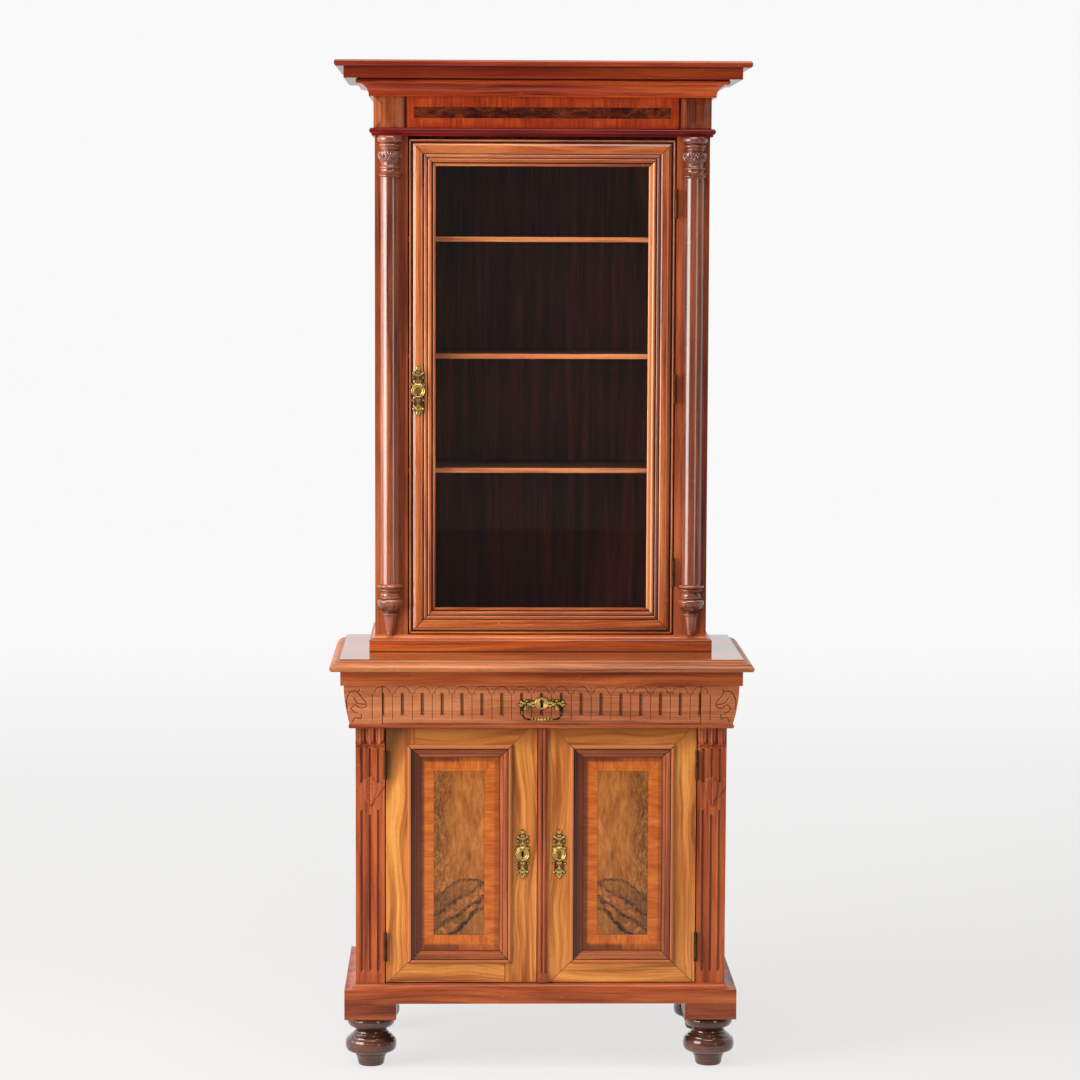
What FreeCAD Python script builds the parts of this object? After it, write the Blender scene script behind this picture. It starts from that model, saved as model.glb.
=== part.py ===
import FreeCAD, Part
import math
import os

# Two-tier glazed bookcase. Millimetres, +Z up, front towards -Y.
# The origin is on the floor under the middle of the table top.

os.makedirs("parts", exist_ok=True)
Vec = FreeCAD.Vector
RIGHT = Vec(1, 0, 0)
BACK = Vec(0, 1, 0)
FRONT = Vec(0, -1, 0)
UP = Vec(0, 0, 1)

# Overall plan
TOP_WIDTH = 870.0
TOP_DEPTH = 430.0
LOWER_WIDTH = 766.0
LOWER_DEPTH = 377.0
UPPER_WIDTH = 690.0
UPPER_DEPTH = 281.0
BOARD = 18.0
BACK_THICKNESS = 8.0
FRAME_THICKNESS = 22.0

# Heights of the layers, from the floor up
FOOT_HEIGHT = 105.0
BLOCK_HEIGHT = 34.0
PLINTH_BOARD_HEIGHT = 29.0
PLINTH_COVE_HEIGHT = 8.0
LOWER_CARCASS_HEIGHT = 536.0
BEAD_HEIGHT = 9.0
DRAWER_TIER_HEIGHT = 82.0
APRON_HEIGHT = 31.0
TABLE_THICKNESS = 24.0
UPPER_BASE_HEIGHT = 26.0
UPPER_CARCASS_HEIGHT = 1041.0
NECKING_HEIGHT = 16.0
FRIEZE_HEIGHT = 64.0
CORNICE_COVE_HEIGHT = 25.0
CORNICE_BEAD_HEIGHT = 10.0
CORNICE_FASCIA_HEIGHT = 23.0
CORNICE_TOP_HEIGHT = 13.0

# How far the mouldings stand out from their carcass
PLINTH_OUT = 23.0
PLINTH_FORWARD = 7.0
PLINTH_LEDGE = 8.0
BEAD_OUT = 14.0
DRAWER_TIER_OUT_LOW = 11.5
DRAWER_TIER_OUT_HIGH = 23.5
DRAWER_TIER_SWELL = 2.6
APRON_OUT = 30.0
UPPER_BASE_OUT = 11.8
UPPER_BASE_COVE = 9.0
NECKING_OUT = 11.0
CORNICE_COVE_OUT = 27.6
CORNICE_COVE_START = 12.0
CORNICE_BEAD_OUT = 35.7
CORNICE_FASCIA_OUT = 61.5
CORNICE_TOP_OUT = 80.0

# Table top edge
NOSE_FALL = 4.0
TABLE_QUIRK = 12.6
TABLE_COVE = 7.0

# Feet
BLOCK_SIDE = 107.0
FOOT_DISC_RADIUS = 52.0
FOOT_NECK_RADIUS = 28.0
FOOT_TOE_RADIUS = 26.0

# Clearances
DOOR_SIDE_GAP = 3.0
LOWER_DOOR_SIDE_GAP = 2.4
DOOR_MEETING_GAP = 1.6
DOOR_END_GAP = 2.0
DRAWER_SIDE_GAP = 1.6
DRAWER_RUNNING_GAP = 0.3
LOCK_RUNNING_GAP = 0.3
PIN_RUNNING_GAP = 0.05

# Lower doors
PILASTER_WIDTH = 60.0
DOOR_THICKNESS = 20.0
DOOR_STILE = 58.6
DOOR_PANEL_START = 74.0
DOOR_TOP_RAIL = 48.0
MEETING_OFFSET = 7.7
ESCUTCHEON_OFFSET = 38.0
DOOR_BOTTOM_RAIL = 54.0
DOOR_PANEL_THICKNESS = 11.0
DOOR_PANEL_RECESS = 4.0
DOOR_MOULDING_WIDTH = 26.5
DOOR_MOULDING_OVERLAP = 14.0
DOOR_MOULDING_EDGE = 3.6
DOOR_MOULDING_BEAD = 7.4
DOOR_MOULDING_BEAD_OUT = 5.0
DOOR_MOULDING_BEAD_SWELL = 1.4
DOOR_MOULDING_QUIRK = 1.6
DOOR_MOULDING_QUIRK_OUT = 2.8
DOOR_MOULDING_BAND = 9.6
DOOR_MOULDING_BAND_SWELL = 1.2
DOOR_MOULDING_STEP = 1.4
DOOR_MOULDING_COVE_RISE = 4.4
DOOR_MOULDING_COVE_HOLLOW = 0.9
DOOR_MOULDING_FOOT = 1.6
ASTRAGAL_WIDTH = 20.5
ASTRAGAL_OUT = 8.0

# Glazed door
COLUMN_STILE_WIDTH = 68.0
GLASS_DOOR_THICKNESS = 22.0
GLASS_DOOR_FRAME = 54.0
GLASS_REBATE = 8.0
GLASS_DOOR_HEAD_GAP = 7.0
GLASS_EDGE_BEAD = 4.0
GLASS_EDGE_BEAD_OUT = 1.2
GLASS_QUIRK = 4.0
GLASS_BAND_OUTER = 8.0
GLASS_BAND_INNER = 29.0
GLASS_BAND_LEVEL = 1.5
GLASS_BAND_SWELL = 3.4
GLASS_BEAD_STEP = 0.8
GLASS_BEAD_GROOVE = 2.4
GLASS_BEAD_SWELL = 1.5
GLASS_BEAD_ENDS = (30.0, 37.0, 38.5, 46.0)
GLASS_FILLET = 5.0
GLASS_FILLET_SINK = 4.0
GLASS_ESCUTCHEON_INSET = 18.5
GLASS_THICKNESS = 3.0
GLAZING_BEAD_DEPTH = 9.0

# Columns
COLUMN_INSET = 31.5
COLUMN_RADIUS = 21.0
COLUMN_SPREAD = 28.0
COLUMN_BASE_HEIGHT = 107.0
COLUMN_CAPITAL_HEIGHT = 85.0

# Pilaster carving
FLUTE_RADIUS = 3.0
FLUTE_PITCH = 17.0
UPPER_FLUTE_TOP = 43.0
UPPER_FLUTE_LENGTH = 68.0
LOWER_FLUTE_TOP = 171.0
LOWER_FLUTE_FOOT = 25.0
PETAL_LENGTH = 31.0
LEAF_TOP = 101.0
LEAF_LENGTH = 62.0
LEAF_WIDTH = 30.0

# Frieze
FRIEZE_BLOCK_WIDTH = 63.0
FRIEZE_BLOCK_OUT = 2.5
FRIEZE_BLOCK_RISE = 4.5
FRIEZE_BLOCK_BEVEL = 16.0
FRIEZE_GROOVE = 5.5
FRIEZE_GROOVE_DEPTH = 4.0
INLAY_END_MARGIN = 15.0
INLAY_WIDTH = 22.5
INLAY_THICKNESS = 1.0

# Shelves
SHELF_THICKNESS = 10.0
UPPER_SHELF_RISES = (355.0, 593.0, 835.0)
UPPER_SHELF_SETBACK = 36.0
LOWER_SHELF_RISE = 274.0
LOWER_SHELF_SETBACK = 32.0
CLEAT = 12.0
CLEAT_LENGTH = 150.0

# Drawer
DRAWER_END_WIDTH = 56.5
DRAWER_LIP_GAP = 1.2
DRAWER_BACK_OF_FRONT = 4.0
DRAWER_BOX_INSET = 8.5
DRAWER_SIDE = 12.0
DRAWER_SIDE_HEIGHT = 68.0
DRAWER_HOLD = 60.0
DRAWER_BOTTOM = 6.0
DRAWER_BOTTOM_RAISE = 6.0
DRAWER_GUIDE_HEIGHT = 24.0
DRAWER_TRAVEL = 280.0
SCALLOP_COUNT = 16
SCALLOP_BAND = 19.0
SCALLOP_DEPTH = 1.2
SPANDREL_SHARE = 0.32
FLUTE_SLOT_WIDTH = 7.5
FLUTE_SLOT_LOW = 12.0
FLUTE_SLOT_HIGH = 60.0
FLUTE_SLOT_DEPTH = 2.5

# Drawer pull
PULL_HEIGHT_ABOVE_BEAD = 43.0
PULL_PLATE_HALF_WIDTH = 52.0
PULL_PLATE_HALF_HEIGHT = 16.5
PULL_PLATE_THICKNESS = 2.0
PULL_POST_SPACING = 65.0
PULL_POST_DROP = 9.0
PULL_POST_RADIUS = 4.6
PULL_POST_LENGTH = 15.0
BAIL_HALF_WIDTH = 2.0
BAIL_BEAD_RADIUS = 3.1
BAIL_BEAD_HALF_LENGTH = 4.5
BAIL_EYE_RADIUS = 1.4
BAIL_DROP = 22.0
BAIL_FLARE = 2.0
BAIL_BEND_RUN = 16.0
BAIL_BEND_RISE = 10.0
BAIL_BEND_SHARE = 0.207
BAIL_NECK_HOLLOW = 0.6
BAIL_SIDE_GAP = 0.6

# Escutcheons and locks
ESCUTCHEON_HALF_HEIGHT = 52.0
ESCUTCHEON_HALF_WIDTH = 16.0
ESCUTCHEON_THICKNESS = 1.8
KEYHOLE_RADIUS = 3.4
KEYHOLE_SLOT = 3.0
KEYHOLE_LENGTH = 15.0
GLASS_DOOR_LOCK_RISE = 517.0
LOWER_LOCK_RISE = 271.0
LOCK_CASE_HEIGHT = 70.0
LOCK_CASE_WIDTH = 30.0
LOCK_CASE_THICKNESS = 12.0
LOCK_BOLT_HEIGHT = 16.0
LOCK_BOLT_THICKNESS = 6.0
LOCK_BOLT_LENGTH = 20.0
LOCK_BOLT_TRAVEL = 7.0

# Hinges
HINGE_HEIGHT = 60.0
HINGE_LEAF = 0.9
HINGE_LEAF_DEPTH = 18.0
HINGE_KNUCKLE_RADIUS = 3.5
HINGE_PIN_RADIUS = 1.8
HINGE_STAND_OFF = 4.6
GLASS_HINGE_STAND_OFF = 6.6
HINGE_GAP = 0.5
LOWER_HINGE_INSET = 75.0
GLASS_HINGE_INSET = 130.0

# Places worked out from the sizes above
REAR = TOP_DEPTH / 2
LOWER_HALF = LOWER_WIDTH / 2
LOWER_FRONT = REAR - LOWER_DEPTH
UPPER_HALF = UPPER_WIDTH / 2
UPPER_FRONT = REAR - UPPER_DEPTH
BACK_FACE = REAR - BACK_THICKNESS

DRAWER_FRONT_WIDTH = LOWER_WIDTH - 2 * DRAWER_END_WIDTH
DRAWER_BOX_HALF = DRAWER_FRONT_WIDTH / 2 - DRAWER_BOX_INSET
DRAWER_BOX_DEPTH = DRAWER_TRAVEL + DRAWER_HOLD

Z_BLOCK = FOOT_HEIGHT
Z_PLINTH = Z_BLOCK + BLOCK_HEIGHT
Z_PLINTH_COVE = Z_PLINTH + PLINTH_BOARD_HEIGHT
Z_LOWER = Z_PLINTH_COVE + PLINTH_COVE_HEIGHT
Z_BEAD = Z_LOWER + LOWER_CARCASS_HEIGHT
Z_DRAWER = Z_BEAD + BEAD_HEIGHT
Z_APRON = Z_DRAWER + DRAWER_TIER_HEIGHT
Z_TABLE = Z_APRON + APRON_HEIGHT
Z_UPPER_BASE = Z_TABLE + TABLE_THICKNESS
Z_UPPER = Z_UPPER_BASE + UPPER_BASE_HEIGHT
Z_NECKING = Z_UPPER + UPPER_CARCASS_HEIGHT
Z_FRIEZE = Z_NECKING + NECKING_HEIGHT
Z_CORNICE = Z_FRIEZE + FRIEZE_HEIGHT
Z_CORNICE_BEAD = Z_CORNICE + CORNICE_COVE_HEIGHT
Z_FASCIA = Z_CORNICE_BEAD + CORNICE_BEAD_HEIGHT
Z_TOP_BOARD = Z_FASCIA + CORNICE_FASCIA_HEIGHT
Z_TOP = Z_TOP_BOARD + CORNICE_TOP_HEIGHT
LOWER_LOCK_HEIGHT = Z_LOWER + LOWER_LOCK_RISE
GLASS_DOOR_LOCK_HEIGHT = Z_UPPER + GLASS_DOOR_LOCK_RISE


def outline_face(items, place):
    """Flat face inside a closed outline. An item is a point (a, b), or (a, b, bulge) where the run that
    arrives at it is an arc standing that far to the right of the way of travel. place turns a and b
    into a point in space."""
    edges = []
    count = len(items)
    for index in range(count):
        first = items[index]
        last = items[(index + 1) % count]
        start = place(first[0], first[1])
        end = place(last[0], last[1])
        if len(last) == 3:
            run_a = last[0] - first[0]
            run_b = last[1] - first[1]
            length = math.hypot(run_a, run_b)
            middle_a = (first[0] + last[0]) / 2 + last[2] * run_b / length
            middle_b = (first[1] + last[1]) / 2 - last[2] * run_a / length
            edges.append(Part.Arc(start, place(middle_a, middle_b), end).toShape())
        else:
            edges.append(Part.makeLine(start, end))
    return Part.Face(Part.Wire(edges))


def box(x0, x1, y0, y1, z0, z1):
    """Box between two values on each axis, given in either order."""
    low = Vec(min(x0, x1), min(y0, y1), min(z0, z1))
    return Part.makeBox(abs(x1 - x0), abs(y1 - y0), abs(z1 - z0), low)


def pair(shape):
    """The shape and its mirror image on the other side of the middle."""
    return [shape, shape.mirror(Vec(0, 0, 0), RIGHT)]


def mirrored(shape):
    """The shape's mirror image on the other side of the middle."""
    return shape.mirror(Vec(0, 0, 0), RIGHT)


def mitred_bar(outline, start, end, spread, rise, start_cut, end_cut):
    """Bar of one section from start to end. The outline's first number runs along spread and its second
    along rise. An end with a cut of 1 is mitred inwards as it spreads, -1 outwards, and 0 is square."""
    spreads = [item[0] for item in outline]
    rises = [item[1] for item in outline]
    bulges = [abs(item[2]) for item in outline if len(item) == 3]
    margin = 2.0 + max(bulges, default=0.0)
    reach = max(abs(min(spreads)), abs(max(spreads))) + margin
    run = end - start
    along = Vec(run).normalize()
    origin = start - along * reach
    section = outline_face(outline, lambda a, b: origin + spread * a + rise * b)
    bar = section.extrude(along * (run.Length + 2 * reach))
    low = min(spreads) - margin
    high = max(spreads) + margin
    floor = rise * (min(rises) - margin)
    corners = [
        start + spread * low + along * (low * start_cut) + floor,
        start + spread * high + along * (high * start_cut) + floor,
        end + spread * high - along * (high * end_cut) + floor,
        end + spread * low - along * (low * end_cut) + floor,
    ]
    plan = Part.Face(Part.makePolygon(corners + [corners[0]]))
    clip = plan.extrude(rise * (max(rises) - min(rises) + 2 * margin))
    return bar.common(clip).Solids[0]


def wrapped_moulding(outline, half, front, rear):
    """Moulding mitred round the front and both sides: front bar, right bar and left bar."""
    front_left = Vec(-half, front, 0)
    front_right = Vec(half, front, 0)
    rear_right = Vec(half, rear, 0)
    front_bar = mitred_bar(outline, front_left, front_right, FRONT, UP, -1, -1)
    right_bar = mitred_bar(outline, front_right, rear_right, RIGHT, UP, -1, 0)
    return [front_bar, right_bar, mirrored(right_bar)]


def framed_moulding(outline, x0, x1, z0, z1, face):
    """Moulding mitred round a rectangle in the front plane at y = face. The outline runs inwards from
    the rectangle's edge and out towards the front."""
    corners = [Vec(x0, face, z0), Vec(x1, face, z0), Vec(x1, face, z1), Vec(x0, face, z1)]
    inward = [UP, RIGHT * -1, UP * -1, RIGHT]
    bars = []
    for side in range(4):
        bars.append(mitred_bar(outline, corners[side], corners[(side + 1) % 4], inward[side], FRONT, 1, 1))
    return bars


def moulded_board(edge, half, front, rear):
    """Board with one edge section on its front and sides. An edge item is how far in it lies, its
    height, and for an arc its bulge, from the underside up."""
    right_side = [(half - item[0],) + tuple(item[1:]) for item in edge]
    bulges = [item[2] if len(item) == 3 else 0 for item in edge]
    left_side = []
    front_side = []
    for index in reversed(range(len(edge))):
        inset, height = edge[index][0], edge[index][1]
        arriving = bulges[index + 1] if index + 1 < len(edge) else 0
        tail = (arriving,) if arriving else ()
        left_side.append((-half + inset, height) + tail)
        front_side.append((front + inset, height) + tail)
    across = outline_face(right_side + left_side, lambda a, b: Vec(a, front, b))
    low = edge[0][1]
    high = edge[-1][1]
    along = outline_face([(rear, low), (rear, high)] + front_side, lambda a, b: Vec(-half, a, b))
    shape = across.extrude(BACK * (rear - front)).common(along.extrude(RIGHT * (2 * half)))
    return shape.Solids[0]


def turned(profile, x, y, sweep=360.0):
    """Turned piece about an upright axis at x, y. The profile gives radii and heights from the bottom
    up. A sweep of 180 leaves the front half."""
    bottom = profile[0][1]
    top = profile[-1][1]
    outline = [(0.0, bottom)] + list(profile) + [(0.0, top)]
    section = outline_face(outline, lambda a, b: Vec(x - a, y, b))
    return section.revolve(Vec(x, y, 0), UP, sweep)


def at_heights(shares, low, height):
    """Profile whose heights are given as shares of its own height above low."""
    return [(item[0], low + item[1] * height) + tuple(item[2:]) for item in shares]


def rod(start, end, radius):
    """Round bar between two points."""
    run = end - start
    return Part.makeCylinder(radius, run.Length, start, run)


def make_feet():
    """Turned feet under square blocks: a fluted neck, a stepped cup, a broad disc and a small toe."""
    shares = [
        (FOOT_TOE_RADIUS, 0.0),
        (FOOT_TOE_RADIUS + 2.5, 0.095, 0.6),
        (FOOT_TOE_RADIUS + 4.6, 0.17),
        (FOOT_TOE_RADIUS + 7.5, 0.24, 0.8),
        (FOOT_DISC_RADIUS - 6.8, 0.28),
        (FOOT_DISC_RADIUS, 0.335, 1.2),
        (FOOT_DISC_RADIUS, 0.495, 1.2),
        (FOOT_DISC_RADIUS - 2.5, 0.535),
        (FOOT_DISC_RADIUS - 8.5, 0.59, -1.0),
        (FOOT_NECK_RADIUS + 8.5, 0.65, -1.0),
        (FOOT_NECK_RADIUS + 5.0, 0.695, -0.8),
        (FOOT_NECK_RADIUS, 0.75, -0.8),
        (FOOT_DISC_RADIUS - 7.5, 0.79, -2.0),
        (FOOT_DISC_RADIUS - 7.5, 1.0, 5.0),
    ]
    profile = at_heights(shares, 0.0, FOOT_HEIGHT)
    half = LOWER_HALF + PLINTH_OUT - BLOCK_SIDE / 2
    front = LOWER_FRONT - PLINTH_FORWARD - PLINTH_OUT + BLOCK_SIDE / 2
    rear = REAR - BLOCK_SIDE / 2
    blocks = []
    for y in (front, rear):
        block = box(half - BLOCK_SIDE / 2, half + BLOCK_SIDE / 2, y - BLOCK_SIDE / 2, y + BLOCK_SIDE / 2,
                    Z_BLOCK, Z_PLINTH)
        blocks += pair(block)
    return {
        "front_feet": pair(turned(profile, half, front)),
        "rear_feet": pair(turned(profile, half, rear)),
        "foot_blocks": blocks,
    }


def make_plinth():
    """Plinth boards with a small cove on top, mitred at the front corners, and a plain rear rail. The
    front board reaches under the doors and gives the floor a ledge to rest on."""
    outline = [
        (-BOARD, Z_PLINTH),
        (PLINTH_OUT, Z_PLINTH),
        (PLINTH_OUT, Z_PLINTH_COVE),
        (PLINTH_OUT - 2.0, Z_PLINTH_COVE),
        (1.0, Z_LOWER, -4.0),
        (-BOARD, Z_LOWER),
    ]
    ledge = PLINTH_FORWARD + FRAME_THICKNESS + PLINTH_LEDGE
    front_outline = list(outline)
    front_outline[0] = (-ledge, Z_PLINTH)
    front_outline[-1] = (-ledge, Z_LOWER)
    front = LOWER_FRONT - PLINTH_FORWARD
    left = Vec(-LOWER_HALF, front, 0)
    right = Vec(LOWER_HALF, front, 0)
    rear = Vec(LOWER_HALF, REAR, 0)
    bars = [mitred_bar(front_outline, left, right, FRONT, UP, -1, -1)]
    bars += pair(mitred_bar(outline, right, rear, RIGHT, UP, -1, 0))
    inside = LOWER_HALF - BOARD
    bars.append(box(-inside, inside, REAR - BOARD, REAR, Z_PLINTH, Z_LOWER))
    return {"plinth_frame": bars}


def make_lower_carcass():
    """Sides, floor, dust board, back, shelf and its cleats."""
    inside = LOWER_HALF - BOARD
    front = LOWER_FRONT + FRAME_THICKNESS
    side = box(inside, LOWER_HALF, front, REAR, Z_LOWER, Z_BEAD)
    floor = box(-inside, inside, front, BACK_FACE, Z_LOWER, Z_LOWER + BOARD)
    dust = box(-inside, inside, front, BACK_FACE, Z_DRAWER - BOARD, Z_DRAWER)
    shelf_top = Z_LOWER + LOWER_SHELF_RISE
    shelf = box(-inside, inside, front + LOWER_SHELF_SETBACK, BACK_FACE,
                shelf_top - SHELF_THICKNESS, shelf_top)
    return {
        "lower_side_left": [mirrored(side)],
        "lower_side_right": [side],
        "lower_boards": [floor, dust],
        "lower_back": [box(-inside, inside, BACK_FACE, REAR, Z_LOWER, Z_TABLE)],
        "lower_shelf": [shelf],
    }


def make_shelf_cleats():
    """Small strips screwed to the sides, one under each end of each shelf."""
    cleats = []
    upper_inside = UPPER_HALF - BOARD
    lower_inside = LOWER_HALF - BOARD
    for rise in UPPER_SHELF_RISES:
        top = Z_UPPER + rise - SHELF_THICKNESS
        cleats += pair(box(upper_inside - CLEAT, upper_inside, BACK_FACE - CLEAT_LENGTH, BACK_FACE,
                           top - CLEAT, top))
    top = Z_LOWER + LOWER_SHELF_RISE - SHELF_THICKNESS
    cleats += pair(box(lower_inside - CLEAT, lower_inside, BACK_FACE - CLEAT_LENGTH, BACK_FACE,
                       top - CLEAT, top))
    return {"shelf_cleats": cleats}


def make_pilaster():
    """Fluted right pilaster with three petals at its head and a pointed leaf between two sets of flutes."""
    centre = LOWER_HALF - PILASTER_WIDTH / 2
    shape = box(LOWER_HALF - PILASTER_WIDTH, LOWER_HALF, LOWER_FRONT, LOWER_FRONT + FRAME_THICKNESS,
                Z_LOWER, Z_BEAD)
    for place in (-1, 0, 1):
        x = centre + place * FLUTE_PITCH
        upper_top = Z_BEAD - UPPER_FLUTE_TOP
        lower_top = Z_BEAD - LOWER_FLUTE_TOP - (FLUTE_RADIUS if place == 0 else 0)
        upper_foot = upper_top - UPPER_FLUTE_LENGTH
        lower_foot = Z_LOWER + LOWER_FLUTE_FOOT
        for top, bottom in ((upper_top, upper_foot), (lower_top, lower_foot)):
            flute = rod(Vec(x, LOWER_FRONT, bottom), Vec(x, LOWER_FRONT, top), FLUTE_RADIUS)
            shape = shape.cut(flute)
        petal_width = PILASTER_WIDTH / 3 - 1.0
        petal_x = centre + place * PILASTER_WIDTH / 3
        petal = rod(Vec(petal_x, LOWER_FRONT, Z_BEAD - PETAL_LENGTH), Vec(petal_x, LOWER_FRONT, Z_BEAD),
                    petal_width / 2)
        tip = Part.makeSphere(petal_width / 2, Vec(petal_x, LOWER_FRONT, Z_BEAD - PETAL_LENGTH))
        front_half = box(petal_x - petal_width, petal_x + petal_width, LOWER_FRONT - 6.0, LOWER_FRONT + 2.0,
                         Z_BEAD - PETAL_LENGTH - petal_width, Z_BEAD)
        shape = shape.fuse(petal.fuse(tip).common(front_half))
    leaf_top = Z_BEAD - LEAF_TOP
    leaf_middle = leaf_top - LEAF_LENGTH * 0.4
    leaf = outline_face([
        (centre, leaf_top - LEAF_LENGTH, -2.0),
        (centre + LEAF_WIDTH / 2, leaf_middle, -2.0),
        (centre, leaf_top, 3.0),
        (centre - LEAF_WIDTH / 2, leaf_middle, 3.0),
    ], lambda a, b: Vec(a, LOWER_FRONT + 2.0, b))
    return shape.fuse(leaf.extrude(FRONT * 4.0))


def make_pilasters():
    """The right pilaster and its mirror image."""
    right = make_pilaster()
    return {"pilaster_left": [mirrored(right)], "pilaster_right": [right]}


def make_bead_rail():
    """Thin rounded bead under the drawer, round the front and sides."""
    outline = [
        (-BOARD, Z_BEAD),
        (BEAD_OUT - 3.0, Z_BEAD),
        (BEAD_OUT - 3.0, Z_DRAWER, 3.0),
        (-BOARD, Z_DRAWER),
    ]
    return {"bead_rail": wrapped_moulding(outline, LOWER_HALF, LOWER_FRONT, REAR)}


def drawer_tier_outline(inner):
    """Section of the drawer tier: a plain back and a front that swells outwards as it rises."""
    return [
        (inner, Z_DRAWER),
        (DRAWER_TIER_OUT_LOW, Z_DRAWER),
        (DRAWER_TIER_OUT_HIGH, Z_APRON, DRAWER_TIER_SWELL),
        (inner, Z_APRON),
    ]


def make_frieze_ends():
    """Fixed ends of the drawer tier: a short front piece mitred to a long side piece."""
    outline = drawer_tier_outline(-BOARD)
    opening = DRAWER_FRONT_WIDTH / 2 + DRAWER_SIDE_GAP
    corner = Vec(LOWER_HALF, LOWER_FRONT, 0)
    front_piece = mitred_bar(outline, Vec(opening, LOWER_FRONT, 0), corner, FRONT, UP, 0, -1)
    side_piece = mitred_bar(outline, corner, Vec(LOWER_HALF, REAR, 0), RIGHT, UP, -1, 0)
    right = [front_piece, side_piece]
    return {"drawer_tier_right": right, "drawer_tier_left": [mirrored(piece) for piece in right]}


def tier_face(z):
    """How far the swelling front of the drawer tier stands out at a height: a circular arc."""
    rise = DRAWER_TIER_HEIGHT
    spread = DRAWER_TIER_OUT_HIGH - DRAWER_TIER_OUT_LOW
    chord = math.hypot(rise, spread)
    radius = (chord * chord / 4 + DRAWER_TIER_SWELL ** 2) / (2 * DRAWER_TIER_SWELL)
    middle_z = (Z_DRAWER + Z_APRON) / 2
    middle_out = (DRAWER_TIER_OUT_LOW + DRAWER_TIER_OUT_HIGH) / 2
    back_off = radius - DRAWER_TIER_SWELL
    centre_out = middle_out - back_off * rise / chord
    centre_z = middle_z + back_off * spread / chord
    return centre_out + math.sqrt(radius ** 2 - (z - centre_z) ** 2)


def make_drawer_front():
    """Carved drawer front: a row of scallops over upright slots, on the swelling section."""
    half = DRAWER_FRONT_WIDTH / 2
    outline = drawer_tier_outline(-DRAWER_BACK_OF_FRONT)
    shape = mitred_bar(outline, Vec(-half, LOWER_FRONT, 0), Vec(half, LOWER_FRONT, 0), FRONT, UP, 0, 0)
    reach = DRAWER_TIER_OUT_HIGH + DRAWER_TIER_SWELL
    between = box(-half, half, LOWER_FRONT - reach, LOWER_FRONT + DRAWER_BACK_OF_FRONT,
                  Z_DRAWER + DRAWER_LIP_GAP, Z_APRON - DRAWER_LIP_GAP)
    shape = shape.common(between)
    pitch = DRAWER_FRONT_WIDTH / SCALLOP_COUNT
    low = Z_DRAWER + FLUTE_SLOT_LOW
    high = Z_DRAWER + FLUTE_SLOT_HIGH
    slot_section = [
        (tier_face(low) - FLUTE_SLOT_DEPTH, low),
        (reach, low),
        (reach, high),
        (tier_face(high) - FLUTE_SLOT_DEPTH, high),
    ]
    spandrel_out = tier_face(Z_APRON) - SCALLOP_DEPTH
    for index in range(1, SCALLOP_COUNT):
        x = -half + pitch * index
        start = Vec(x - FLUTE_SLOT_WIDTH / 2, LOWER_FRONT, 0)
        end = Vec(x + FLUTE_SLOT_WIDTH / 2, LOWER_FRONT, 0)
        shape = shape.cut(mitred_bar(slot_section, start, end, FRONT, UP, 0, 0))
    for index in range(SCALLOP_COUNT):
        x = -half + pitch * (index + 0.5)
        spandrel = outline_face([
            (x - pitch * SPANDREL_SHARE, Z_APRON),
            (x, Z_APRON - SCALLOP_BAND, SCALLOP_DEPTH),
            (x + pitch * SPANDREL_SHARE, Z_APRON, SCALLOP_DEPTH),
        ], lambda a, b: Vec(a, LOWER_FRONT - spandrel_out, b))
        shape = shape.cut(spandrel.extrude(FRONT * reach))
    return shape.Solids[0]


def make_drawer():
    """Drawer front, box and the two guides that it runs between."""
    half = DRAWER_BOX_HALF
    front = LOWER_FRONT + DRAWER_BACK_OF_FRONT
    rear = front + DRAWER_BOX_DEPTH
    low = Z_DRAWER + DRAWER_RUNNING_GAP
    high = low + DRAWER_SIDE_HEIGHT
    side = box(half - DRAWER_SIDE, half, front, rear, low, high)
    back = box(-half + DRAWER_SIDE, half - DRAWER_SIDE, rear - DRAWER_SIDE, rear, low, high)
    floor_low = low + DRAWER_BOTTOM_RAISE
    floor = box(-half + DRAWER_SIDE, half - DRAWER_SIDE, front, rear - DRAWER_SIDE,
                floor_low, floor_low + DRAWER_BOTTOM)
    guide = box(half + DRAWER_RUNNING_GAP, LOWER_HALF - BOARD, LOWER_FRONT + FRAME_THICKNESS, BACK_FACE,
                Z_DRAWER, Z_DRAWER + DRAWER_GUIDE_HEIGHT)
    return {
        "drawer_front": [make_drawer_front()],
        "drawer_box": pair(side) + [back, floor],
        "drawer_guides": pair(guide),
    }


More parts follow.
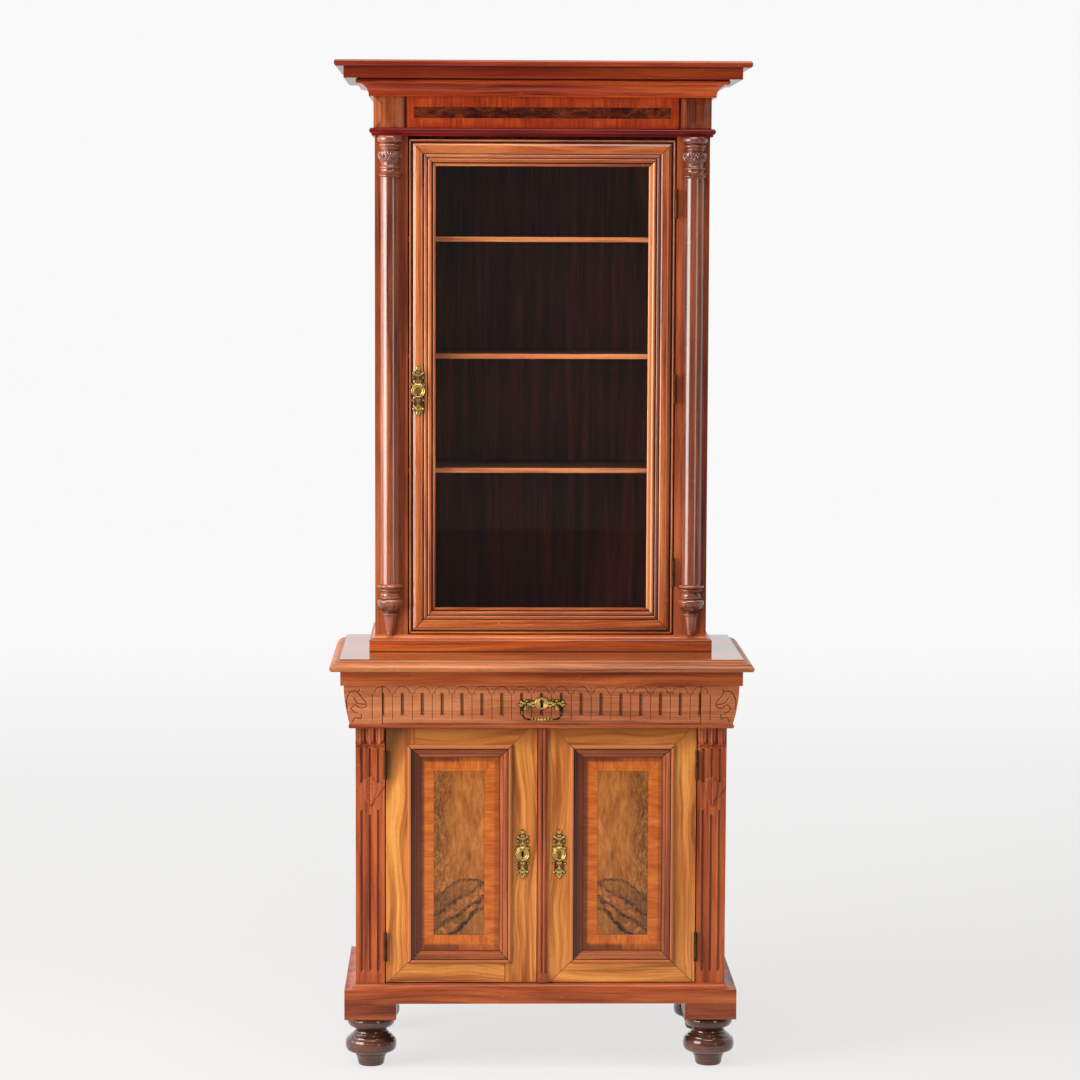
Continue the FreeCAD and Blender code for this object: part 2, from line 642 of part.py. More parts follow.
def make_drawer_pull():
    """Leafy brass plate on the swelling front, two posts, and the bail that hangs in them."""
    middle = Z_DRAWER + PULL_HEIGHT_ABOVE_BEAD
    w = PULL_PLATE_HALF_WIDTH
    h = PULL_PLATE_HALF_HEIGHT
    outline = outline_face([
        (0.0, middle - h),
        (w * 0.26, middle - h * 0.72, 1.6),
        (w * 0.46, middle - h * 0.80, -1.5),
        (w * 0.80, middle - h * 0.66, 2.0),
        (w, middle + h * 0.02, 2.4),
        (w * 0.78, middle + h * 0.42, 2.0),
        (w * 0.44, middle + h * 0.42, -1.8),
        (w * 0.26, middle + h * 0.84, -1.6),
        (-w * 0.26, middle + h * 0.84, 2.4),
        (-w * 0.44, middle + h * 0.42, -1.6),
        (-w * 0.78, middle + h * 0.42, -1.8),
        (-w, middle + h * 0.02, 2.0),
        (-w * 0.80, middle - h * 0.66, 2.4),
        (-w * 0.46, middle - h * 0.80, 2.0),
        (-w * 0.26, middle - h * 0.72, -1.5),
    ], lambda a, b: Vec(a, LOWER_FRONT, b))
    reach = DRAWER_TIER_OUT_HIGH + DRAWER_TIER_SWELL + PULL_PLATE_THICKNESS
    tier = drawer_tier_outline(0.0)
    inner_low = tier[1]
    inner_high = tier[2]
    skin = [
        (inner_low[0], inner_low[1], -DRAWER_TIER_SWELL),
        (inner_low[0] + PULL_PLATE_THICKNESS, inner_low[1]),
        (inner_high[0] + PULL_PLATE_THICKNESS, inner_high[1], DRAWER_TIER_SWELL),
        (inner_high[0], inner_high[1]),
    ]
    shell = mitred_bar(skin, Vec(-w, LOWER_FRONT, 0), Vec(w, LOWER_FRONT, 0), FRONT, UP, 0, 0)
    plate = outline.extrude(FRONT * reach).common(shell).Solids[0]
    pivot_z = middle - PULL_POST_DROP
    pivot_y = LOWER_FRONT - tier_face(pivot_z) - PULL_POST_LENGTH + PULL_POST_RADIUS
    spread = PULL_POST_SPACING / 2
    shank_radius = PULL_POST_RADIUS * 0.75
    neck = math.sqrt(PULL_POST_RADIUS ** 2 - shank_radius ** 2)
    ball_turn = math.pi - math.asin(shank_radius / PULL_POST_RADIUS)
    ball_sagitta = PULL_POST_RADIUS * (1 - math.cos(ball_turn / 2))
    root = LOWER_FRONT - tier_face(pivot_z + shank_radius)
    posts = []
    for x in (-spread, spread):
        section = outline_face([
            (root, 0.0),
            (root, shank_radius),
            (pivot_y + neck, shank_radius),
            (pivot_y - PULL_POST_RADIUS, 0.0, ball_sagitta),
        ], lambda a, b: Vec(x, a, pivot_z + b))
        post = section.revolve(Vec(x, pivot_y, pivot_z), BACK, 360)
        bore = rod(Vec(x - 2 * PULL_POST_RADIUS, pivot_y, pivot_z),
                   Vec(x + 2 * PULL_POST_RADIUS, pivot_y, pivot_z), BAIL_EYE_RADIUS + PIN_RUNNING_GAP)
        posts.append(post.cut(bore).Solids[0])
        hole = rod(Vec(x, LOWER_FRONT, pivot_z), Vec(x, pivot_y, pivot_z), shank_radius)
        plate = plate.cut(hole).Solids[0]
    out = spread + PULL_POST_RADIUS + BAIL_HALF_WIDTH + BAIL_SIDE_GAP
    low = pivot_z - BAIL_DROP
    bend_start = out - BAIL_BEND_RUN
    bend_end = out + BAIL_FLARE
    outer_chord = math.hypot(bend_end + BAIL_HALF_WIDTH - bend_start, BAIL_BEND_RISE + BAIL_HALF_WIDTH)
    inner_chord = math.hypot(bend_end - BAIL_HALF_WIDTH - bend_start, BAIL_BEND_RISE - BAIL_HALF_WIDTH)
    half_bail = outline_face([
        (0.0, low - BAIL_HALF_WIDTH),
        (bend_start, low - BAIL_HALF_WIDTH),
        (bend_end + BAIL_HALF_WIDTH, low + BAIL_BEND_RISE, outer_chord * BAIL_BEND_SHARE),
        (out + BAIL_HALF_WIDTH, pivot_z, -BAIL_NECK_HOLLOW),
        (out - BAIL_HALF_WIDTH, pivot_z, BAIL_HALF_WIDTH),
        (bend_end - BAIL_HALF_WIDTH, low + BAIL_BEND_RISE, BAIL_NECK_HOLLOW),
        (bend_start, low + BAIL_HALF_WIDTH, -inner_chord * BAIL_BEND_SHARE),
        (0.0, low + BAIL_HALF_WIDTH),
    ], lambda a, b: Vec(a, pivot_y - BAIL_HALF_WIDTH, b)).extrude(BACK * (2 * BAIL_HALF_WIDTH))
    pin = rod(Vec(spread - PULL_POST_RADIUS, pivot_y, pivot_z), Vec(out, pivot_y, pivot_z), BAIL_EYE_RADIUS)
    half_bead = rod(Vec(0, pivot_y, low), Vec(BAIL_BEAD_HALF_LENGTH, pivot_y, low), BAIL_BEAD_RADIUS)
    side = half_bail.fuse(pin).fuse(half_bead)
    bail = side.fuse(mirrored(side)).removeSplitter()
    return {"drawer_pull_plate": [plate] + posts, "drawer_bail": [bail.Solids[0]]}


def make_apron():
    """Plain fascia under the table top, round the front and sides, with a rear rail."""
    outline = [(-BOARD, Z_APRON), (APRON_OUT, Z_APRON), (APRON_OUT, Z_TABLE), (-BOARD, Z_TABLE)]
    return {"apron_frame": wrapped_moulding(outline, LOWER_HALF, LOWER_FRONT, REAR)}


def make_table_top():
    """Thick top with a rounded nose and a small quirked cove along its upper edge."""
    edge = [
        (NOSE_FALL, Z_TABLE),
        (0.0, Z_TABLE + TABLE_THICKNESS * 0.3, 0.8),
        (TABLE_QUIRK, Z_UPPER_BASE - TABLE_COVE, 1.6),
        (TABLE_QUIRK + 1.5, Z_UPPER_BASE - TABLE_COVE),
        (TABLE_QUIRK + 1.5 + TABLE_COVE, Z_UPPER_BASE, -1.4),
    ]
    return {"table_top": [moulded_board(edge, TOP_WIDTH / 2, -TOP_DEPTH / 2, REAR)]}


def escutcheon(x, z, back, keyhole):
    """Brass keyhole plate with its back at y = back: leafy finial, cross arms, pointed arch, oval boss,
    and the same turned over below. keyhole is False where the hole is only a brass cover."""
    w = ESCUTCHEON_HALF_WIDTH
    h = ESCUTCHEON_HALF_HEIGHT
    right = [
        (0.0, -h),
        (w * 0.22, -h * 0.88, 0.8),
        (w * 0.72, -h * 0.80, 1.6),
        (w * 0.34, -h * 0.66, 1.2),
        (w * 0.66, -h * 0.46, 2.2),
        (w * 0.42, -h * 0.36, -0.8),
        (w, 0.0, 5.0),
        (w * 0.40, h * 0.38, 5.0),
        (w * 0.68, h * 0.54, -0.6),
        (w * 0.36, h * 0.70, 2.4),
        (w * 0.92, h * 0.76, -0.6),
        (w * 0.26, h * 0.84, 1.2),
        (0.0, h, 0.8),
    ]
    bulges = [item[2] if len(item) == 3 else 0.0 for item in right]
    left = []
    for index in range(len(right) - 2, 0, -1):
        left.append((-right[index][0], right[index][1], bulges[index + 1]))
    first = (right[0][0], right[0][1], bulges[1])
    items = [first] + right[1:] + left
    plate = outline_face([(x + item[0], z + item[1]) + tuple(item[2:]) for item in items],
                         lambda a, b: Vec(a, back, b)).extrude(FRONT * ESCUTCHEON_THICKNESS)
    rim = Part.makeCylinder(w * 0.62, ESCUTCHEON_THICKNESS * 1.6, Vec(x, back, z), FRONT)
    plate = plate.fuse(rim)
    if keyhole:
        through = ESCUTCHEON_THICKNESS * 3
        top = KEYHOLE_LENGTH / 2 - KEYHOLE_RADIUS
        eye = Part.makeCylinder(KEYHOLE_RADIUS, through, Vec(x, back + 1.0, z + top), FRONT)
        slot = box(x - KEYHOLE_SLOT / 2, x + KEYHOLE_SLOT / 2, back + 1.0, back + 1.0 - through,
                   z - KEYHOLE_LENGTH / 2, z + top)
        plate = plate.cut(eye).cut(slot)
    return plate.removeSplitter().Solids[0]


def mortise_lock(edge, face, thickness, z, way):
    """Lock let into a door's edge at x = edge, whose bolt slides out along way (1 right, -1 left).
    Returns the pocket to cut in the door, the case and the bolt."""
    middle = face + thickness / 2
    inner = edge - way * LOCK_CASE_WIDTH
    half_case = LOCK_CASE_THICKNESS / 2
    half_height = LOCK_CASE_HEIGHT / 2
    pocket = box(edge, inner, middle - half_case, middle + half_case, z - half_height, z + half_height)
    half_bolt = LOCK_BOLT_THICKNESS / 2
    half_bolt_height = LOCK_BOLT_HEIGHT / 2
    gap = LOCK_RUNNING_GAP
    channel = box(edge, edge - way * (LOCK_BOLT_LENGTH + gap), middle - half_bolt - gap,
                  middle + half_bolt + gap, z - half_bolt_height - gap, z + half_bolt_height + gap)
    bolt = box(edge, edge - way * LOCK_BOLT_LENGTH, middle - half_bolt, middle + half_bolt,
               z - half_bolt_height, z + half_bolt_height)
    return pocket, pocket.cut(channel), bolt


def strike_hole(edge, face, thickness, z, way):
    """Hole for the bolt in the piece that the door shuts against, from x = edge inwards."""
    middle = face + thickness / 2
    half_y = LOCK_BOLT_THICKNESS / 2 + 4 * LOCK_RUNNING_GAP
    half_z = LOCK_BOLT_HEIGHT / 2 + 4 * LOCK_RUNNING_GAP
    return box(edge, edge + way * LOCK_BOLT_TRAVEL, middle - half_y, middle + half_y, z - half_z, z + half_z)


def butt_hinge(axis_x, face, stand_off, z, side, gap):
    """Butt hinge on an upright pin in front of the face. side is 1 where the carcass lies to the right
    of the pin. Returns the door's leaf and the carcass's leaf with the pin."""
    axis_y = face - stand_off
    third = HINGE_HEIGHT / 3
    low = z - HINGE_HEIGHT / 2
    door_low = low + third + HINGE_GAP
    door_length = third - 2 * HINGE_GAP
    shut = gap / 2
    door_leaf = box(axis_x - side * shut, axis_x - side * (shut - HINGE_LEAF), face,
                    face + HINGE_LEAF_DEPTH, low, low + HINGE_HEIGHT)
    door_tab = box(axis_x - side * shut, axis_x - side * (shut - HINGE_LEAF), axis_y, face,
                   door_low, door_low + door_length)
    knuckle = Part.makeCylinder(HINGE_KNUCKLE_RADIUS, door_length, Vec(axis_x, axis_y, door_low))
    bore = Part.makeCylinder(HINGE_PIN_RADIUS + PIN_RUNNING_GAP, HINGE_HEIGHT, Vec(axis_x, axis_y, low))
    door_part = door_leaf.fuse(door_tab).fuse(knuckle).cut(bore)
    frame_leaf = box(axis_x + side * shut, axis_x + side * (shut - HINGE_LEAF), face,
                     face + HINGE_LEAF_DEPTH, low, low + HINGE_HEIGHT)
    frame_part = frame_leaf.fuse(Part.makeCylinder(HINGE_PIN_RADIUS, HINGE_HEIGHT, Vec(axis_x, axis_y, low)))
    for start in (low, low + 2 * third):
        tab = box(axis_x + side * shut, axis_x + side * (shut - HINGE_LEAF), axis_y, face,
                  start, start + third)
        frame_part = frame_part.fuse(tab)
        frame_part = frame_part.fuse(Part.makeCylinder(HINGE_KNUCKLE_RADIUS, third,
                                                       Vec(axis_x, axis_y, start)))
    return door_part.removeSplitter().Solids[0], frame_part.removeSplitter().Solids[0]


def lower_door(inner, outer, low, high):
    """One lower door between x = inner and x = outer: stiles, rails, sunk panel and raised moulding."""
    way = 1 if outer > 0 else -1
    back = LOWER_FRONT + DOOR_THICKNESS
    start = way * DOOR_PANEL_START
    end = outer - way * DOOR_STILE
    panel_low = low + DOOR_BOTTOM_RAIL
    panel_high = high - DOOR_TOP_RAIL
    inner_stile = box(inner, start, LOWER_FRONT, back, low, high)
    outer_stile = box(outer, end, LOWER_FRONT, back, low, high)
    bottom_rail = box(start, end, LOWER_FRONT, back, low, panel_low)
    top_rail = box(start, end, LOWER_FRONT, back, panel_high, high)
    panel_face = LOWER_FRONT + DOOR_PANEL_RECESS
    panel = box(start, end, panel_face, panel_face + DOOR_PANEL_THICKNESS, panel_low, panel_high)
    w = DOOR_MOULDING_WIDTH
    o = DOOR_MOULDING_OVERLAP
    foot = DOOR_MOULDING_FOOT - DOOR_PANEL_RECESS
    band_outer = DOOR_MOULDING_BEAD + DOOR_MOULDING_QUIRK
    band_inner = band_outer + DOOR_MOULDING_BAND
    outline = [
        (0.0, 0.0),
        (o, 0.0),
        (o, -DOOR_PANEL_RECESS),
        (w, -DOOR_PANEL_RECESS),
        (w, foot),
        (band_inner, foot + DOOR_MOULDING_COVE_RISE - DOOR_MOULDING_STEP, -DOOR_MOULDING_COVE_HOLLOW),
        (band_inner, foot + DOOR_MOULDING_COVE_RISE),
        (band_outer, DOOR_MOULDING_BEAD_OUT, DOOR_MOULDING_BAND_SWELL),
        (band_outer, DOOR_MOULDING_QUIRK_OUT),
        (DOOR_MOULDING_BEAD, DOOR_MOULDING_QUIRK_OUT),
        (DOOR_MOULDING_BEAD, DOOR_MOULDING_BEAD_OUT),
        (0.0, DOOR_MOULDING_EDGE, DOOR_MOULDING_BEAD_SWELL),
    ]
    moulding = framed_moulding(outline, min(start, end) - o, max(start, end) + o, panel_low - o,
                               panel_high + o, LOWER_FRONT)
    return inner_stile, outer_stile, [bottom_rail, top_rail], panel, moulding


def make_lower_doors():
    """Left and right doors with hinges, keyhole plates, the right door's lock and its astragal."""
    low = Z_LOWER + DOOR_END_GAP
    high = Z_BEAD - DOOR_END_GAP
    outer = LOWER_HALF - PILASTER_WIDTH - LOWER_DOOR_SIDE_GAP
    meeting = -MEETING_OFFSET
    axis_x = outer + LOWER_DOOR_SIDE_GAP / 2
    hinge_heights = (low + LOWER_HINGE_INSET, high - LOWER_HINGE_INSET)
    nodes = {}
    pins = []
    left_edge = meeting - DOOR_MEETING_GAP / 2
    right_edge = meeting + DOOR_MEETING_GAP / 2
    pocket, case, bolt = mortise_lock(right_edge, LOWER_FRONT, DOOR_THICKNESS, LOWER_LOCK_HEIGHT, -1)
    strike = strike_hole(left_edge, LOWER_FRONT, DOOR_THICKNESS, LOWER_LOCK_HEIGHT, -1)
    for name, side, edge, cutter in (("left", -1, left_edge, strike), ("right", 1, right_edge, pocket)):
        inner_stile, outer_stile, rails, panel, moulding = lower_door(edge, side * outer, low, high)
        leaves = []
        for z in hinge_heights:
            leaf, pin = butt_hinge(side * axis_x, LOWER_FRONT, HINGE_STAND_OFF, z, side, LOWER_DOOR_SIDE_GAP)
            leaves.append(leaf)
            pins.append(pin)
        nodes[name + "_door_frame"] = [inner_stile.cut(cutter), outer_stile] + rails
        nodes[name + "_door_panel"] = [panel]
        nodes[name + "_door_moulding"] = moulding
        nodes[name + "_door_hinge_leaves"] = leaves
    nodes["left_door_escutcheon"] = [escutcheon(-ESCUTCHEON_OFFSET, LOWER_LOCK_HEIGHT, LOWER_FRONT, False)]
    nodes["right_door_escutcheon"] = [escutcheon(ESCUTCHEON_OFFSET, LOWER_LOCK_HEIGHT, LOWER_FRONT, True)]
    nodes["right_door_lock"] = [case]
    nodes["right_door_lock_bolt"] = [bolt]
    start = Vec(right_edge + ASTRAGAL_WIDTH / 2, LOWER_FRONT, 0)
    half = ASTRAGAL_WIDTH / 2
    reeds = [
        (-half, 0.0),
        (half, 0.0),
        (half, ASTRAGAL_OUT * 0.35),
        (half - 2.5, ASTRAGAL_OUT * 0.35),
        (0.0, ASTRAGAL_OUT * 0.35, 3.6),
        (-half + 2.5, ASTRAGAL_OUT * 0.35, 3.6),
        (-half, ASTRAGAL_OUT * 0.35),
    ]
    bar = outline_face(reeds, lambda a, b: start + RIGHT * a + FRONT * b + UP * low)
    foot = box(right_edge, right_edge + ASTRAGAL_WIDTH, LOWER_FRONT, LOWER_FRONT - ASTRAGAL_OUT,
               low, low + ASTRAGAL_WIDTH)
    nodes["astragal"] = [bar.extrude(UP * (high - low)).fuse(foot).removeSplitter().Solids[0]]
    nodes["lower_hinge_pins"] = pins
    return nodes


def make_upper_carcass():
    """Base moulding, sides, floor and ceiling, back, front stiles and shelves."""
    inside = UPPER_HALF - BOARD
    front = UPPER_FRONT + FRAME_THICKNESS
    base = [
        (-BOARD, Z_UPPER_BASE),
        (UPPER_BASE_OUT, Z_UPPER_BASE),
        (UPPER_BASE_OUT, Z_UPPER - 2.0),
        (UPPER_BASE_OUT - 1.5, Z_UPPER),
        (1.0, Z_UPPER + UPPER_BASE_COVE, -2.4),
        (0.0, Z_UPPER + UPPER_BASE_COVE),
        (0.0, Z_UPPER),
        (-BOARD, Z_UPPER),
    ]
    base_bars = wrapped_moulding(base, UPPER_HALF, UPPER_FRONT, REAR)
    base_bars.append(box(-inside, inside, REAR - BOARD, REAR, Z_UPPER_BASE, Z_UPPER))
    side = box(inside, UPPER_HALF, front, REAR, Z_UPPER, Z_CORNICE)
    floor = box(-inside, inside, front, BACK_FACE, Z_UPPER, Z_UPPER + BOARD)
    ceiling = box(-inside, inside, front, BACK_FACE, Z_NECKING - BOARD, Z_NECKING)
    stile_inner = UPPER_HALF - COLUMN_STILE_WIDTH
    stile = box(stile_inner, UPPER_HALF, UPPER_FRONT, front, Z_UPPER, Z_NECKING)
    nodes = {
        "upper_base_moulding": base_bars,
        "upper_side_left": [mirrored(side)],
        "upper_side_right": [side],
        "upper_boards": [floor, ceiling],
        "upper_back": [box(-inside, inside, BACK_FACE, REAR, Z_UPPER, Z_CORNICE)],
        "front_stile_right": [stile],
    }
    strike = strike_hole(-stile_inner, UPPER_FRONT, GLASS_DOOR_THICKNESS, GLASS_DOOR_LOCK_HEIGHT, -1)
    nodes["front_stile_left"] = [mirrored(stile).cut(strike)]
    shelves = []
    for rise in UPPER_SHELF_RISES:
        top = Z_UPPER + rise
        shelves.append(box(-inside, inside, UPPER_FRONT + UPPER_SHELF_SETBACK, BACK_FACE,
                           top - SHELF_THICKNESS, top))
    nodes["bookshelves"] = shelves
    return nodes


def column_profile():
    """Radii and heights of the half column: pendant, carved bulb, bell, rings, shaft and capital."""
    r = COLUMN_RADIUS
    s = COLUMN_SPREAD
    low = Z_UPPER + UPPER_BASE_COVE
    shaft = low + COLUMN_BASE_HEIGHT
    head = Z_NECKING - COLUMN_CAPITAL_HEIGHT
    base = [
        (s * 0.29, 0.0),
        (s * 0.54, 0.374, 0.6),
        (s * 0.60, 0.388),
        (s * 0.60, 0.42, 1.2),
        (s * 0.52, 0.44),
        (s * 0.98, 0.635, 3.5),
        (s * 0.88, 0.70, 2.0),
        (s * 0.76, 0.71),
        (s * 0.84, 0.735, 0.8),
        (s * 0.76, 0.757, 0.8),
        (s * 0.64, 0.84, 1.5),
        (s * 0.82, 0.87),
        (s * 0.82, 0.90, 0.8),
        (s * 0.76, 0.915),
        (s * 0.92, 0.93),
        (s * 0.92, 0.98, 1.8),
        (r, 1.0),
    ]
    capital = [
        (r, 0.0),
        (r + 3.0, 0.024),
        (r + 3.0, 0.059, 0.8),
        (s, 0.094),
        (s * 0.72, 0.17, -2.0),
        (s * 0.72, 0.194),
        (s * 0.72, 0.27, 2.2),
        (s * 0.66, 0.306, -0.4),
        (s * 0.70, 0.365),
        (s * 0.88, 0.61, 3.6),
        (s * 0.68, 0.635),
        (s * 0.74, 0.676),
        (s * 0.74, 0.724, 1.2),
        (s * 0.80, 0.741),
        (s * 0.80, 0.80, 1.4),
        (s * 0.74, 0.824),
        (s * 0.86, 0.841),
        (s * 0.86, 1.0, 3.4),
    ]
    return at_heights(base, low, shaft - low) + at_heights(capital, head, Z_NECKING - head)


def make_columns():
    """Half columns on the front stiles."""
    x = UPPER_HALF - COLUMN_INSET
    right = turned(column_profile(), x, UPPER_FRONT, 180.0)
    return {"column_left": [mirrored(right)], "column_right": [right]}


def make_glass_door():
    """Glazed door: mitred frame, pane, glazing beads, hinges, lock and keyhole plate."""
    half = UPPER_HALF - COLUMN_STILE_WIDTH - DOOR_SIDE_GAP
    low = Z_UPPER + UPPER_BASE_COVE + DOOR_END_GAP
    high = Z_NECKING - GLASS_DOOR_HEAD_GAP
    w = GLASS_DOOR_FRAME
    t = GLASS_DOOR_THICKNESS
    rebate = -t + GLASS_THICKNESS + GLAZING_BEAD_DEPTH
    outer_bead_start, outer_bead_end, inner_bead_start, inner_bead_end = GLASS_BEAD_ENDS
    outline = [
        (0.0, -t),
        (w - GLASS_REBATE, -t),
        (w - GLASS_REBATE, rebate),
        (w, rebate),
        (w, -GLASS_FILLET_SINK),
        (w - GLASS_FILLET, -GLASS_FILLET_SINK, GLASS_BEAD_STEP),
        (inner_bead_end + GLASS_BEAD_STEP, -GLASS_FILLET_SINK - GLASS_BEAD_STEP),
        (inner_bead_end, -GLASS_BEAD_STEP),
        (inner_bead_start, -GLASS_BEAD_STEP, GLASS_BEAD_SWELL),
        (inner_bead_start, -GLASS_BEAD_GROOVE),
        (outer_bead_end, -GLASS_BEAD_GROOVE),
        (outer_bead_end, 0.0),
        (outer_bead_start, 0.0, GLASS_BEAD_SWELL),
        (outer_bead_start, -GLASS_BEAD_STEP),
        (GLASS_BAND_INNER, -GLASS_BEAD_STEP),
        (GLASS_BAND_INNER, GLASS_BAND_LEVEL),
        (GLASS_BAND_OUTER, GLASS_BAND_LEVEL, GLASS_BAND_SWELL),
        (GLASS_BAND_OUTER, -GLASS_QUIRK),
        (GLASS_EDGE_BEAD, -GLASS_QUIRK),
        (GLASS_EDGE_BEAD, GLASS_EDGE_BEAD_OUT),
        (0.0, GLASS_EDGE_BEAD_OUT, GLASS_EDGE_BEAD_OUT),
    ]
    bars = framed_moulding(outline, -half, half, low, high, UPPER_FRONT)
    pocket, case, bolt = mortise_lock(-half, UPPER_FRONT, t, GLASS_DOOR_LOCK_HEIGHT, -1)
    bars[3] = bars[3].cut(pocket).Solids[0]
    opening = half - w + GLASS_REBATE
    pane_low = low + w - GLASS_REBATE
    pane_high = high - w + GLASS_REBATE
    pane_front = UPPER_FRONT - rebate
    pane = box(-opening, opening, pane_front, pane_front + GLASS_THICKNESS, pane_low, pane_high)
    bead = [
        (0.0, 0.0),
        (0.0, -GLAZING_BEAD_DEPTH),
        (GLASS_REBATE, -GLAZING_BEAD_DEPTH * 0.4, 2.0),
        (GLASS_REBATE, 0.0),
    ]
    beads = framed_moulding(bead, -opening, opening, pane_low, pane_high, pane_front + GLASS_THICKNESS)
    axis_x = half + DOOR_SIDE_GAP / 2
    leaves = []
    pins = []
    for z in (low + GLASS_HINGE_INSET, (low + high) / 2, high - GLASS_HINGE_INSET):
        leaf, pin = butt_hinge(axis_x, UPPER_FRONT, GLASS_HINGE_STAND_OFF, z, 1, DOOR_SIDE_GAP)
        leaves.append(leaf)
        pins.append(pin)
    plate = escutcheon(-half + GLASS_ESCUTCHEON_INSET, GLASS_DOOR_LOCK_HEIGHT,
                       UPPER_FRONT - GLASS_BAND_LEVEL - GLASS_BAND_SWELL, True)
    return {
        "glass_door_frame": bars,
        "glass_pane": [pane],
        "glazing_beads": beads,
        "glass_door_hinge_leaves": leaves,
        "upper_hinge_pins": pins,
        "glass_door_escutcheon": [plate],
        "glass_door_lock": [case],
        "glass_door_lock_bolt": [bolt],
    }


def make_frieze():
    """Necking bead, frieze board with a long inlay, and raised corner blocks."""
    necking = [
        (0.0, Z_NECKING),
        (NECKING_OUT * 0.55, Z_NECKING),
        (NECKING_OUT * 0.55, Z_NECKING + NECKING_HEIGHT * 0.3),
        (NECKING_OUT * 0.7, Z_NECKING + NECKING_HEIGHT * 0.3),
        (NECKING_OUT * 0.7, Z_FRIEZE, NECKING_OUT * 0.3),
        (0.0, Z_FRIEZE),
    ]
    rear_of_board = UPPER_FRONT + FRAME_THICKNESS
    block_face = UPPER_FRONT - FRIEZE_BLOCK_OUT
    seat = block_face + FRIEZE_BLOCK_OUT + FRIEZE_GROOVE_DEPTH
    block_outer = UPPER_HALF + FRIEZE_BLOCK_OUT
    block_inner = block_outer - FRIEZE_BLOCK_WIDTH
    panel_half = block_inner - FRIEZE_GROOVE
    board = box(-UPPER_HALF, UPPER_HALF, seat, rear_of_board, Z_NECKING, Z_CORNICE)
    panel = box(-panel_half, panel_half, block_face, seat, Z_FRIEZE, Z_CORNICE)
    backing = box(-UPPER_HALF, UPPER_HALF, UPPER_FRONT, seat, Z_NECKING, Z_FRIEZE)
    rail = board.fuse(panel).fuse(backing)
    middle = (Z_FRIEZE + Z_CORNICE) / 2
    inlay_half = panel_half - INLAY_END_MARGIN
    sunk = box(-inlay_half, inlay_half, block_face, block_face + INLAY_THICKNESS,
               middle - INLAY_WIDTH / 2, middle + INLAY_WIDTH / 2)
    blank = box(block_inner, block_outer, block_face - FRIEZE_BLOCK_RISE, seat, Z_FRIEZE, Z_CORNICE)
    above = FRIEZE_BLOCK_RISE + 1.0
    bevel = [(-1.0, 0.0), (0.0, 0.0), (FRIEZE_BLOCK_BEVEL, FRIEZE_BLOCK_RISE), (FRIEZE_BLOCK_BEVEL, above),
             (-1.0, above)]
    cutters = framed_moulding(bevel, block_inner, block_outer, Z_FRIEZE, Z_CORNICE, block_face)
    for cutter in cutters:
        blank = blank.cut(cutter)
    return {
        "necking_moulding": wrapped_moulding(necking, UPPER_HALF, UPPER_FRONT, REAR),
        "frieze_rail": [rail.cut(sunk).removeSplitter().Solids[0]],
        "frieze_inlay": [sunk],
        "frieze_blocks": pair(blank.Solids[0]),
    }


def make_cornice():
    """Cove, bead and fascia in one mitred moulding under a rounded top board."""
    outline = [
        (-BOARD, Z_CORNICE),
        (CORNICE_COVE_START, Z_CORNICE),
        (CORNICE_COVE_OUT, Z_CORNICE_BEAD, -5.0),
        (CORNICE_BEAD_OUT, Z_CORNICE_BEAD),
        (CORNICE_BEAD_OUT, Z_FASCIA, 2.0),
        (CORNICE_FASCIA_OUT, Z_FASCIA),
        (CORNICE_FASCIA_OUT, Z_TOP_BOARD),
        (-BOARD, Z_TOP_BOARD),
    ]
    edge = [
        (4.0, Z_TOP_BOARD),
        (0.0, Z_TOP_BOARD + CORNICE_TOP_HEIGHT * 0.4, 1.0),
        (3.0, Z_TOP, 1.5),
    ]
    half = UPPER_HALF + CORNICE_TOP_OUT
    inside = UPPER_HALF - BOARD
    rear_rail = box(-inside, inside, REAR - BOARD, REAR, Z_CORNICE, Z_TOP_BOARD)
    return {
        "cornice_moulding": wrapped_moulding(outline, UPPER_HALF, UPPER_FRONT, REAR) + [rear_rail],
        "cornice_top_board": [moulded_board(edge, half, UPPER_FRONT - CORNICE_TOP_OUT, REAR)],
    }


def main():
    nodes = {}
    for make in (make_feet, make_plinth, make_lower_carcass, make_shelf_cleats, make_pilasters,
                 make_bead_rail, make_frieze_ends, make_drawer, make_drawer_pull, make_apron,
                 make_table_top, make_lower_doors, make_upper_carcass, make_columns, make_glass_door,
                 make_frieze, make_cornice):
        nodes.update(make())
    for name, solids in nodes.items():
        shape = solids[0] if len(solids) == 1 else Part.makeCompound(solids)
        shape.exportStep("parts/" + name + ".step")


main()
